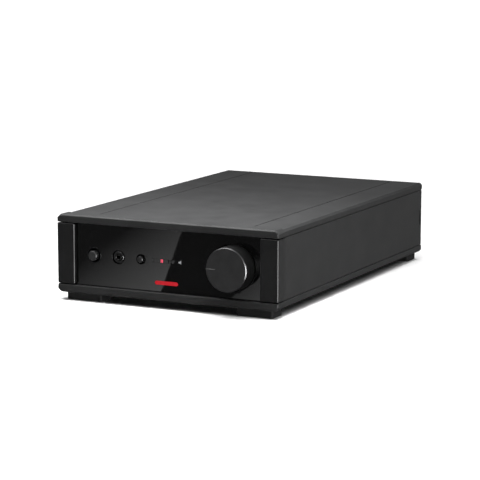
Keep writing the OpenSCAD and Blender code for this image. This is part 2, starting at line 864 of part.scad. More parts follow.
// The receiver, converter and output chips and their clocks
module chips() {
    color("black") {
        for (p = [[usb_x - 6, 60, 14], [optical_x - 5, 90, 10], [-52, 75, 8], [-76, 75, 8], [-30, 58, 9]])
            span([p[0], socket_y - p[1], chip_z], [p[0] + p[2], socket_y - p[1] + p[2], chip_z + 1.4]);
    }
    color("silver")
        for (x = [0, 16])
            span([usb_x - 10 + x, socket_y - 36, chip_z], [usb_x - 1 + x, socket_y - 29, chip_z + 3]);
}

// The relay that mutes the outputs
module output_relay() {
    color("black")
        span([-84, socket_y - 16, chip_z], [-64, socket_y - 6, chip_z + 10]);
}

lid();
base_tray();
left_side();
right_side();
left_pillar();
right_pillar();
fascia();
front_subframe();
rear_panel();
lid_screws();
rear_panel_screws();
foot_front_left();
foot_front_right();
foot_rear_left();
foot_rear_right();
foot_screws();
volume_knob();
knob_pointer();
volume_shaft();
volume_control();
volume_control_nut();
power_button();
power_button_ring();
power_switch();
source_button();
source_switch();
headphone_jack();
headphone_nut();
front_board();
input_light_1();
input_light_2();
input_light_3();
mute_light();
status_light();
indicator_leds();
remote_receiver();
ribbon_cable();
main_board();
board_standoffs();
board_screws();
transformer();
transformer_pads();
transformer_bolt();
mains_inlet();
inlet_pins();
fuse_drawer();
fuse();
mains_wires();
left_output();
right_output();
coaxial_input();
usb_socket();
optical_input();
optical_shutter();
reservoir_capacitors();
film_capacitors();
rectifier();
regulators();
chips();
output_relay();
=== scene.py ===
"""The looks of a desktop digital-to-analogue converter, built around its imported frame.

Every piece is worked out from the frame's own boxes, in metres, and rides on the frame's bodies.
"""

import logging
import math
from collections.abc import Sequence
from dataclasses import dataclass, field
from enum import Enum

import bmesh
import bpy
import numpy as np
from mathutils import Euler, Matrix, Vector
from mathutils.geometry import delaunay_2d_cdt


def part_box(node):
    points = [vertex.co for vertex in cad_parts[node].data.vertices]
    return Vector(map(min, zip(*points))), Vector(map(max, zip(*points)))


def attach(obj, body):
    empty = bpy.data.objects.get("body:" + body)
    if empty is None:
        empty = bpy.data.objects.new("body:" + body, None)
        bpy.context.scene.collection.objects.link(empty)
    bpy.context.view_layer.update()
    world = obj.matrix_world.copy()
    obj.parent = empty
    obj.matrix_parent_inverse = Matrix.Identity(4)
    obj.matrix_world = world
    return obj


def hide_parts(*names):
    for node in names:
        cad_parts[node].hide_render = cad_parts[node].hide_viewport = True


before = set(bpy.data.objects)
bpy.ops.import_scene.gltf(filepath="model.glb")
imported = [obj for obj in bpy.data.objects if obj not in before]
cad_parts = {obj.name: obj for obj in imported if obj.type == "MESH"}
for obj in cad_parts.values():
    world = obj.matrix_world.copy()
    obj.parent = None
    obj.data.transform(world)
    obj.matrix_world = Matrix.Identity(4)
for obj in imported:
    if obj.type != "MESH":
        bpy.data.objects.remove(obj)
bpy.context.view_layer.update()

LOG = logging.getLogger("dac")
MM = 0.001
ARC_STEPS = 6
RIM_STEPS = 5
RAIL_ROWS = 34
MERGE = 2e-6
SAME_POINT = 1e-6
ROUND_END = 0.999
SHARP_ANGLE = math.radians(32)
PHONO = ("left_output", "right_output", "coaxial_input")
ROUND_HOLES = {
    "volume_knob": 20.9 * MM, "power_button_ring": 7 * MM,
    "headphone_nut": 6.2 * MM, "source_button": 4.5 * MM,
}

Pair = tuple[float, float]
Point = tuple[float, float, float]
Colour = Sequence[float]
Socket = bpy.types.NodeSocket


def mm(*sizes: float) -> list[float]:
    """Sizes in millimetres as metres."""
    return [size * MM for size in sizes]


def stand(name: str, data: bpy.types.ID) -> bpy.types.Object:
    """Puts a new object into the scene, at the origin and unturned."""
    thing = bpy.data.objects.new(name, data)
    bpy.context.scene.collection.objects.link(thing)
    return thing


# ---------------------------------------------------------------- outlines and surfaces


class Axis(Enum):
    """The direction that a shape is drawn out or turned about, with its two other axes."""

    X = (1, 2, 0)
    Y = (0, 2, 1)
    Z = (0, 1, 2)

    def place(self, across: np.ndarray, up: np.ndarray, along: np.ndarray) -> np.ndarray:
        """Puts three coordinate arrays in X, Y, Z order.

        Args:
            across: Coordinates on the first other axis.
            up: Coordinates on the second other axis.
            along: Coordinates on this axis.

        Returns:
            An array whose last dimension is X, Y, Z.
        """
        out = np.empty(np.broadcast(across, up, along).shape + (3,))
        out[..., self.value[0]] = across
        out[..., self.value[1]] = up
        out[..., self.value[2]] = along
        return out


def rounded(corners: np.ndarray, radii: np.ndarray, steps: int = ARC_STEPS) -> np.ndarray:
    """Rounds a closed outline's corners.

    Each corner gives way to the arc that is tangent to both of its sides: the arc's centre lies on the
    corner's bisector at radius / sin(half the corner's angle), and its points are the spherical blend
    of the two tangent points about that centre.

    Args:
        corners: Corners in order, (n, 2).
        radii: One radius for each corner; nought keeps it sharp.
        steps: Steps along each arc.

    Returns:
        The outline's points, (n * (steps + 1), 2).
    """
    back = np.roll(corners, 1, axis=0) - corners
    ahead = np.roll(corners, -1, axis=0) - corners
    back /= np.linalg.norm(back, axis=1, keepdims=True)
    ahead /= np.linalg.norm(ahead, axis=1, keepdims=True)
    half = np.arccos(np.clip((back * ahead).sum(1), -0.999999, 0.999999)) / 2
    bisector = back + ahead
    bisector /= np.maximum(np.linalg.norm(bisector, axis=1, keepdims=True), 1e-12)
    centre = corners + bisector * (radii / np.sin(half))[:, None]
    reach = (radii / np.tan(half))[:, None]
    start, end = corners + back * reach - centre, corners + ahead * reach - centre
    turn = (math.pi - 2 * half)[:, None, None]
    s = np.linspace(0, 1, steps + 1)[None, :, None]
    arc = (np.sin((1 - s) * turn) * start[:, None] + np.sin(s * turn) * end[:, None]) / np.sin(turn)
    return (centre[:, None] + arc).reshape(-1, 2)


def inside(ring: np.ndarray, points: np.ndarray) -> np.ndarray:
    """Tells which points lie inside a ring: those whose ray towards +X crosses an odd number of sides.

    Args:
        ring: The ring's points, (n, 2).
        points: Points to try, (m, 2).

    Returns:
        One truth value for each point.
    """
    a, b = ring, np.roll(ring, -1, axis=0)
    x, y = points[:, :1], points[:, 1:]
    spans = (a[:, 1] > y) != (b[:, 1] > y)
    rise = np.where(a[:, 1] == b[:, 1], 1.0, b[:, 1] - a[:, 1])
    return (spans & (a[:, 0] + (y - a[:, 1]) * (b[:, 0] - a[:, 0]) / rise > x)).sum(1) % 2 == 1


@dataclass(frozen=True)
class Outline:
    """A closed outline with rounded corners, drawn anticlockwise."""

    corners: Sequence[Pair]
    radii: float | Sequence[float] = 0.0
    steps: int = ARC_STEPS

    def ring(self, inset: float) -> np.ndarray:
        """The outline moved inwards.

        A corner p between sides with inward normals a and b moves by inset * (a + b) / (1 + a.b), and
        its radius shrinks by the inset where it bulges and grows where it is hollow.

        Args:
            inset: How far the sides move in; negative moves them out.

        Returns:
            The outline's points.
        """
        p = np.array(self.corners, float)
        side = np.roll(p, -1, axis=0) - p
        side /= np.linalg.norm(side, axis=1, keepdims=True)
        inward = np.stack([-side[:, 1], side[:, 0]], 1)
        before = np.roll(inward, 1, axis=0)
        moved = p + inset * (inward + before) / (1 + (inward * before).sum(1, keepdims=True))
        last = np.roll(side, 1, axis=0)
        bulge = np.sign(last[:, 0] * side[:, 1] - last[:, 1] * side[:, 0])
        radii = np.broadcast_to(np.asarray(self.radii, float), len(p))
        return rounded(moved, np.where(radii > 0, np.maximum(radii - bulge * inset, 0), 0), self.steps)


@dataclass(frozen=True)
class Circle:
    """A round outline."""

    centre: Pair
    radius: float
    sides: int = 72

    def ring(self, inset: float) -> np.ndarray:
        """The circle with its radius less the inset, drawn anticlockwise."""
        turn = np.linspace(0, 2 * math.pi, self.sides, endpoint=False)
        return np.array(self.centre) + (self.radius - inset) * np.stack([np.cos(turn), np.sin(turn)], 1)


def box_outline(low: Sequence[float], high: Sequence[float], radius: float = 0.0) -> Outline:
    """A rectangle from its low corner to its high corner, its four corners rounded alike."""
    return Outline([(low[0], low[1]), (high[0], low[1]), (high[0], high[1]), (low[0], high[1])], radius)


def front_outline(low: np.ndarray, high: np.ndarray, radius: float = 0.0) -> Outline:
    """The rectangle that a box shows from the front."""
    return box_outline(low[[0, 2]], high[[0, 2]], radius)


def centred(x: float, z: float, half_wide: float, half_tall: float, radius: float = 0.0) -> Outline:
    """A rectangle about a middle."""
    return box_outline((x - half_wide, z - half_tall), (x + half_wide, z + half_tall), radius)


def cut_top(low: Pair, high: Pair, cut: float, radius: float) -> Outline:
    """A rectangle whose two top corners are cut off at 45 degrees."""
    (left, bottom), (right, top) = low, high
    corners = [
        (left, bottom), (right, bottom), (right, top - cut),
        (right - cut, top), (left + cut, top), (left, top - cut),
    ]
    return Outline(corners, radius)


def capsule(centre: Pair, half: float, radius: float) -> Outline:
    """A bar with round ends, half its straight length each side of the centre."""
    return centred(*centre, half + radius, radius, radius * ROUND_END)


class Shape:
    """Patches of a surface that are joined into one closed mesh."""

    def __init__(self) -> None:
        """Starts with no patches."""
        self.points: list[np.ndarray] = []
        self.faces: list[list[int]] = []
        self.count = 0

    def add(self, points: np.ndarray, faces: Sequence[Sequence[int]]) -> None:
        """Adds points, and faces that count from those points.

        Args:
            points: An array of points, (n, 3).
            faces: Lists of indices into it.
        """
        self.faces.extend([[i + self.count for i in f] for f in faces])
        self.points.append(points.reshape(-1, 3))
        self.count += self.points[-1].shape[0]

    def grid(self, points: np.ndarray, close_rows: bool = False) -> "Shape":
        """Adds a surface given as a grid of points, its last column joined to the first.

        The face at row i, column j joins points (i, j), (i, j+1), (i+1, j+1) and (i+1, j), with the
        indices worked out for the whole grid at once.

        Args:
            points: The grid, (rows, columns, 3).
            close_rows: Join the last row to the first.

        Returns:
            This shape.
        """
        rows, cols = points.shape[:2]
        i, j = np.meshgrid(np.arange(rows - (not close_rows)), np.arange(cols), indexing="ij")
        ahead, below = (j + 1) % cols, (i + 1) % rows
        quads = np.stack([i * cols + j, i * cols + ahead, below * cols + ahead, below * cols + j], -1)
        self.add(points, quads.reshape(-1, 4).tolist())
        return self

    def cap(self, rings: Sequence[np.ndarray], axis: Axis, at: float) -> "Shape":
        """Closes an end with a flat face that leaves its holes open.

        Args:
            rings: The outer outline, then each hole, as (n, 2) arrays.
            axis: The direction that the face looks along.
            at: The face's place on that axis.

        Returns:
            This shape.
        """
        flat = np.concatenate(rings)
        if len(rings) == 1:
            self.add(axis.place(flat[:, 0], flat[:, 1], np.float64(at)), [list(range(len(flat)))])
            return self
        starts = np.cumsum([0] + [len(r) for r in rings])
        edges = [(a + k, a + (k + 1) % n) for a, n in zip(starts, map(len, rings)) for k in range(n)]
        coords, _, faces, *_ = delaunay_2d_cdt([Vector(p) / MM for p in flat], edges, [], 0, SAME_POINT)
        flat = np.array(coords) * MM
        middles = flat[np.array(faces)].mean(1)
        kept = inside(rings[0], middles) & ~np.any([inside(r, middles) for r in rings[1:]], axis=0)
        self.add(axis.place(flat[:, 0], flat[:, 1], np.float64(at)), [f for f, k in zip(faces, kept) if k])
        return self

    def prism(
        self,
        outline: Outline | Circle,
        axis: Axis,
        low: float,
        high: float,
        edge: float | tuple[float, float] = 0.0,
        holes: Sequence[Outline | Circle] = (),
    ) -> "Shape":
        """Draws an outline out along an axis, with rounded rims.

        Its levels follow a quarter circle at each end: inset = r (1 - sin a), height = r (1 - cos a),
        for a from nought to a right angle.

        Args:
            outline: The outer outline.
            axis: The direction that it is drawn along.
            low: Where it starts.
            high: Where it ends.
            edge: The rims' radius, or one each for the low and the high end.
            holes: Outlines of holes right through it.

        Returns:
            This shape.
        """
        first, last = edge if isinstance(edge, tuple) else (edge, edge)
        turn = np.linspace(0, math.pi / 2, RIM_STEPS)
        inset = np.concatenate([first * (1 - np.sin(turn)), (last * (1 - np.sin(turn)))[::-1]])
        level = np.concatenate([low + first * (1 - np.cos(turn)), (high - last * (1 - np.cos(turn)))[::-1]])
        ends: tuple[list[np.ndarray], list[np.ndarray]] = ([], [])
        for shape, way in [(outline, 1), *[(h, -1) for h in holes]]:
            rings = np.stack([shape.ring(way * i) for i in inset])
            self.grid(axis.place(rings[..., 0], rings[..., 1], level[:, None]))
            ends[0].append(rings[0])
            ends[1].append(rings[-1])
        return self.cap(ends[0], axis, low).cap(ends[1], axis, high)

    def lathe(
        self,
        profile: Sequence[tuple[float, float]],
        radii: float | Sequence[float],
        axis: Axis,
        centre: Pair,
        sides: int = 96,
    ) -> "Shape":
        """Turns a closed profile about an axis.

        The point (radius r, place h) of the profile goes to centre + r (cos a, sin a) at height h, for
        a round the full circle.

        Args:
            profile: Corners as (radius, place along the axis), in order.
            radii: The corners' rounding, one for all or one each.
            axis: The axis.
            centre: Where the axis stands, on its two other axes.
            sides: Steps round the circle.

        Returns:
            This shape.
        """
        rim = rounded(np.array(profile, float), np.broadcast_to(np.asarray(radii, float), len(profile)), 4)
        turn = np.linspace(0, 2 * math.pi, sides, endpoint=False)
        r, h = np.maximum(rim[:, :1], 0), rim[:, 1:]
        points = axis.place(centre[0] + r * np.cos(turn), centre[1] + r * np.sin(turn), h + 0 * turn)
        return self.grid(points, close_rows=True)

    def finish(self, name: str, body: str, look: bpy.types.Material, slot: str, *nodes: str) -> None:
        """Makes the mesh, dresses it and puts it on its body in place of its nodes.

        Args:
            name: The piece's name.
            body: The body that it moves with.
            look: Its material.
            slot: The record's slot for its finish; not used.
            *nodes: The nodes that it stands for.
        """
        mesh = bpy.data.meshes.new(name)
        mesh.from_pydata(np.concatenate(self.points).tolist(), [], self.faces)
        shell = bmesh.new()
        shell.from_mesh(mesh)
        bmesh.ops.remove_doubles(shell, verts=shell.verts, dist=MERGE)
        bmesh.ops.dissolve_degenerate(shell, edges=shell.edges, dist=MERGE / 4)
        bmesh.ops.recalc_face_normals(shell, faces=shell.faces)
        shell.to_mesh(mesh)
        shell.free()
        mesh.polygons.foreach_set("use_smooth", np.ones(len(mesh.polygons), bool))
        mesh.set_sharp_from_angle(angle=SHARP_ANGLE)
        mesh.materials.append(look)
        piece = stand(name, mesh)
        even = piece.modifiers.new("even", "WEIGHTED_NORMAL")
        even.keep_sharp = True
        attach(piece, body)
        if nodes:
            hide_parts(*nodes)
        LOG.info("%s rides on %s with %d faces", name, body, len(mesh.polygons))


# ---------------------------------------------------------------- what the frame gives


def spot(node: str) -> tuple[np.ndarray, np.ndarray]:
    """A node's lowest and highest corner as arrays."""
    low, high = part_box(node)
    return np.array(low), np.array(high)


def middle_of(node: str) -> np.ndarray:
    """The middle of a node's box."""
    low, high = spot(node)
    return (low + high) / 2


def solid_boxes(node: str) -> list[tuple[np.ndarray, np.ndarray]]:
    """The box of each separate solid of a node.

    Args:
        node: The node's name.

    Returns:
        The lowest and highest corner of each solid, ordered along X and then Z.
    """
    shell = bmesh.new()
    shell.from_mesh(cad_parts[node].data)
    bmesh.ops.remove_doubles(shell, verts=shell.verts, dist=MERGE)
    seen: set[bmesh.types.BMVert] = set()
    boxes = []
    for first in shell.verts:
        if first in seen:
            continue
        group, todo = [], [first]
        seen.add(first)
        while todo:
            v = todo.pop()
            group.append(v.co)
            for e in v.link_edges:
                other = e.other_vert(v)
                if other not in seen:
                    seen.add(other)
                    todo.append(other)
        points = np.array(group)
        boxes.append((points.min(0), points.max(0)))
    shell.free()
    return sorted(boxes, key=lambda b: (round(b[0][0], 4), round(b[0][2], 4), round(b[0][1], 4)))


# ---------------------------------------------------------------- finishes


class Tree:
    """A node tree, with one short call that adds a node and fills its inputs."""

    def __init__(self, tree: bpy.types.NodeTree) -> None:
        """Empties the tree."""
        self.tree = tree
        tree.nodes.clear()

    def new(self, kind: str, *inputs: Socket | float | Sequence[float], **values: object) -> bpy.types.Node:
        """Adds a node.

        Args:
            kind: The node's type.
            *inputs: What its first inputs get, each an output to join or a value to set.
            **values: Its plain attributes.

        Returns:
            The node.
        """
        node = self.tree.nodes.new(kind)
        for key, value in values.items():
            setattr(node, key, value)
        for socket, value in zip(node.inputs, inputs):
            if isinstance(value, Socket):
                self.link(value, socket)
            else:
                socket.default_value = value
        return node

    def link(self, a: Socket, b: Socket) -> None:
        """Joins an output to an input."""
        self.tree.links.new(a, b)

    def math(self, operation: str, a: Socket | float, b: Socket | float = 0.0) -> Socket:
        """A sum on two values, each a socket or a number."""
        return self.new("ShaderNodeMath", a, b, operation=operation).outputs["Value"]

    def ramp(self, value: Socket, dark: Colour, pale: Colour, ends: Pair = (0, 1)) -> Socket:
        """A colour between two colours.

        Args:
            value: What it follows.
            dark: The colour where the value is at the first end.
            pale: The colour where the value is at the second end.
            ends: The two ends.

        Returns:
            The colour.
        """
        node = self.new("ShaderNodeValToRGB", value)
        for stop, place, colour in zip(node.color_ramp.elements, ends, (dark, pale)):
            stop.position, stop.color = place, (*colour, 1)
        return node.outputs["Color"]


class Nodes(Tree):
    """A material's node tree, with short calls for the nodes that the finishes share."""

    MIDST: Pair = (0.3, 0.7)

    def __init__(self, name: str) -> None:
        """Makes an empty material with an output and a Principled shader."""
        self.material = bpy.data.materials.new(name)
        self.material.use_nodes = True
        super().__init__(self.material.node_tree)
        self.shader = self.new("ShaderNodeBsdfPrincipled")
        self.new("ShaderNodeOutputMaterial", self.shader.outputs["BSDF"])
        self.place = self.new("ShaderNodeTexCoord").outputs["Object"]

    def set(self, **values: Socket | object) -> None:
        """Fills the shader's own sockets; an underscore in a name stands for a space."""
        for key, value in values.items():
            socket = self.shader.inputs[key.replace("_", " ")]
            if isinstance(value, Socket):
                self.link(value, socket)
            else:
                socket.default_value = value

    def mapped(self, location: Sequence[float] = (0, 0, 0), scale: Sequence[float] = (1, 1, 1)) -> Socket:
        """Object coordinates moved to a new centre and stretched."""
        node = self.new("ShaderNodeMapping", self.place)
        node.inputs["Location"].default_value = [-a * b for a, b in zip(location, scale)]
        node.inputs["Scale"].default_value = scale
        return node.outputs["Vector"]

    def noise(self, size: float, detail: float = 3.0, at: Socket | None = None) -> Socket:
        """Noise whose lumps are about this many metres across."""
        node = self.new("ShaderNodeTexNoise", at or self.place)
        node.inputs["Scale"].default_value = 1 / size
        node.inputs["Detail"].default_value = detail
        return node.outputs["Fac"]

    def spread(self, value: Socket, middle: float, below: float, above: float) -> Socket:
        """Turns noise into a value that runs from below a middle to above it."""
        ends = (*self.MIDST, middle - below, middle + above)
        return self.new("ShaderNodeMapRange", value, *ends).outputs["Result"]

    def tint(self, value: Socket, colour: Colour, dark: float, pale: float) -> None:
        """Colours the surface with a colour times dark to the colour times pale, as noise goes."""
        shades = [[min(c * k, 1) for c in colour] for k in (dark, pale)]
        self.set(Base_Color=self.ramp(value, *shades, self.MIDST))

    def bump(self, height: Socket, depth: float) -> None:
        """Raises the surface by a height pattern that is this many metres deep."""
        node = self.new("ShaderNodeBump")
        node.inputs["Strength"].default_value = 1.0
        node.inputs["Distance"].default_value = depth
        self.link(height, node.inputs["Height"])
        self.set(Normal=node.outputs["Normal"])


@dataclass(frozen=True)
class Finish:
    """A plain finish with fine grain: paint, rubber, moulded plastic or plated metal."""

    name: str
    colour: Colour
    roughness: float
    metallic: float = 0.0
    grain: float = 0.4 * MM
    depth: float = 0.01 * MM
    vary: float = 0.12
    drift: float = 22 * MM
    specular: float = 0.5
    coat: float = 0.0

    def build(self) -> bpy.types.Material:
        """Makes the material.

        Returns:
            The material: colour and roughness drift over centimetres, and the grain is a fine bump.
        """
        n = Nodes(self.name)
        n.set(Metallic=self.metallic, Specular_IOR_Level=self.specular)
        n.set(Coat_Weight=self.coat, Coat_Roughness=0.05)
        n.tint(n.noise(self.drift, 4), self.colour, 1 - self.vary, 1 + self.vary)
        fine = n.noise(self.grain, 2)
        n.set(Roughness=n.spread(fine, self.roughness, 0.04, 0.04))
        n.bump(fine, self.depth)
        return n.material


@dataclass(frozen=True)
class Gloss:
    """Polished dark acrylic with faint wipe marks."""

    name: str
    colour: Colour
    roughness: float = 0.012

    def build(self) -> bpy.types.Material:
        """Makes the material: stretched noise gives the wipe marks, in roughness alone."""
        n = Nodes(self.name)
        n.set(IOR=1.49)
        n.tint(n.noise(30 * MM, 2), self.colour, 0.9, 1.1)
        wipes = n.noise(6 * MM, 5, n.mapped(scale=(0.25, 1, 2.2)))
        n.set(Roughness=n.spread(wipes, self.roughness, 0.005, 0.01))
        return n.material


@dataclass(frozen=True)
class Turned:
    """Anodised metal turned on a lathe about an axis along Y, with fine rings on its faces."""

    name: str
    colour: Colour
    centre: Sequence[float]
    roughness: float = 0.3
    metallic: float = 1.0
    pitch: float = 0.12 * MM
    depth: float = 0.003 * MM

    def build(self) -> bpy.types.Material:
        """Makes the material.

        Returns:
            The material: the rings are noise on the distance from the axis and the place along it.
        """
        n = Nodes(self.name)
        n.set(Metallic=self.metallic)
        split = n.new("ShaderNodeSeparateXYZ", n.mapped((self.centre[0], 0, self.centre[2])))
        x, y, z = split.outputs
        radius = n.math("SQRT", n.math("ADD", n.math("MULTIPLY", x, x), n.math("MULTIPLY", z, z)))
        rings = n.noise(self.pitch, 3, n.new("ShaderNodeCombineXYZ", radius, y).outputs[0])
        n.tint(n.noise(12 * MM), self.colour, 0.9, 1.1)
        n.set(Roughness=n.spread(rings, self.roughness, 0.06, 0.06))
        n.bump(rings, self.depth)
        return n.material


@dataclass(frozen=True)
class Lit:
    """A moulded light guide with light behind it."""

    name: str
    colour: Colour
    glow: float

    def build(self) -> bpy.types.Material:
        """Makes the material: soft noise varies the glow's colour a little across the guide."""
        n = Nodes(self.name)
        n.set(Roughness=0.25, Emission_Strength=self.glow)
        n.tint(n.noise(3 * MM, 1), self.colour, 0.25, 0.35)
        n.set(Emission_Color=n.ramp(n.noise(2 * MM, 1), [c * 0.85 for c in self.colour], self.colour))
        return n.material


class Looks:
    """Every finish on the object, made once."""

    def __init__(self) -> None:
        """Makes the materials."""
        knob, power, source = map(middle_of, ("volume_knob", "power_button", "source_button"))
        charcoal, shade_darkened_black, moulded = (0.027, 0.0273, 0.0276), (0.01, 0.01, 0.0105), (0.015, 0.015, 0.015)
        knob_black, power_black = (0.13, 0.13, 0.132), (0.024, 0.024, 0.0245)
        source_black, ring_black = (0.022, 0.022, 0.0225), (0.06, 0.06, 0.063)
        case_grain, knob_rings, rings = mm(0.35, 0.0012, 0.001)
        self.case = Finish(
            "satin_charcoal_paint", charcoal, 0.45, depth=0.012 * MM, grain=case_grain, specular=0.28
        ).build()
        # The pillars' black paint is made darker than the case's paint; the extra darkness is painted shade
        # for the pillar fronts.
        self.frame = Finish("satin_black_paint_darkened_as_shade", shade_darkened_black, 0.36, depth=0.01 * MM, specular=0.4).build()
        self.steel = Finish("matt_black_steel", (0.01, 0.01, 0.01), 0.6).build()
        self.fascia = Gloss("black_acrylic", (0.0016, 0.0016, 0.0017)).build()
        self.knob = Turned("black_anodised_knob", knob_black, knob, 0.37, depth=knob_rings).build()
        self.power = Turned("black_anodised_power_cap", power_black, power, 0.42, 0.0, depth=rings).build()
        self.source = Turned(
            "black_anodised_source_cap", source_black, source, 0.35, 0.0, depth=rings
        ).build()
        self.ring = Turned("black_anodised_ring", ring_black, power).build()
        self.pointer = Finish("white_inlay", (0.16, 0.16, 0.16), 0.5, grain=0.2 * MM).build()
        self.rubber = Finish(
            "moulded_rubber", (0.019, 0.019, 0.019), 0.7, specular=0.3, grain=0.6 * MM, depth=0.03 * MM
        ).build()
        self.zinc = Finish("zinc_plate", (0.42, 0.42, 0.43), 0.3, metallic=1).build()
        self.nut = Finish("black_nickel", (0.12, 0.12, 0.122), 0.34, metallic=1).build()
        self.satin_metal = Finish("satin_aluminium", (0.6, 0.6, 0.62), 0.32, metallic=1).build()
        self.black_plastic = Finish("moulded_black_plastic", moulded, 0.45, grain=0.5 * MM).build()
        self.socket_black = Finish("socket_moulding", (0.008, 0.008, 0.008), 0.35).build()
        self.white_plastic = Finish("white_insulator", (0.7, 0.7, 0.68), 0.4).build()
        self.gold = Finish("gold_plate", (0.83, 0.6, 0.26), 0.2, metallic=1, vary=0.04).build()
        self.nickel = Finish("nickel_plate", (0.62, 0.61, 0.58), 0.22, metallic=1, vary=0.05).build()
        self.off = Finish("smoked_light_guide", (0.04, 0.04, 0.04), 0.3, grain=1 * MM).build()
        self.red = Lit("red_light_guide", (0.9, 0.004, 0.02), 0.38).build()
        self.pink = Lit("bright_red_light_guide", (1.0, 0.1, 0.17), 1.3).build()
        self.white = Lit("white_light_guide", (0.85, 0.88, 0.9), 0.19).build()
        self.clear = Finish("clear_lamp_body", (0.55, 0.55, 0.53), 0.12).build()
        self.board = Finish("green_solder_mask", (0.012, 0.075, 0.04), 0.3, grain=2 * MM, coat=0.4).build()
        self.ribbon = Finish("grey_ribbon_sheath", (0.3, 0.3, 0.3), 0.5).build()
        self.winding = Finish(
            "varnished_winding", (0.32, 0.17, 0.05), 0.3, grain=1 * MM, depth=0.15 * MM, coat=0.3
        ).build()
        self.sleeve = Finish("printed_sleeve", (0.02, 0.03, 0.07), 0.25, coat=0.5).build()
        self.film = Finish("dipped_resin", (0.32, 0.03, 0.02), 0.22, coat=0.6).build()
        self.chip = Finish("chip_epoxy", (0.012, 0.012, 0.012), 0.5, grain=0.3 * MM).build()
        self.heatsink = Finish("satin_extrusion", (0.5, 0.5, 0.52), 0.36, metallic=1).build()
        self.wire = Finish("brown_insulation", (0.14, 0.05, 0.02), 0.4).build()


def pan_head(shape: Shape, axis: Axis, centre: Pair, face: float, tip: float, way: int) -> None:
    """Adds a screw whose domed head has a hollow driving recess.

    Args:
        shape: The shape that gets it.
        axis: The screw's axis.
        centre: Where the axis stands.
        face: The top of the head on the axis.
        tip: The end of the shank.
        way: 1 where the shank points along the axis, -1 where it points against it.
    """
    shank, head, thick = mm(1.5, 2.85, 1.8)
    profile = [
        (0, face + way * 0.9 * MM), (0.75 * MM, face + way * 0.7 * MM), (1.25 * MM, face),
        (head * 0.7, face + way * 0.15 * MM), (head, face + way * 0.9 * MM), (head, face + way * thick),
        (shank, face + way * thick), (shank, tip - way * 0.5 * MM), (shank * 0.6, tip), (0, tip),
    ]
    radii = mm(0, 0.05, 0.1, 0.3, 0.25, 0.05, 0.05, 0.05, 0.05, 0)
    shape.lathe(profile, radii, axis, centre, 32)


# ---------------------------------------------------------------- the case


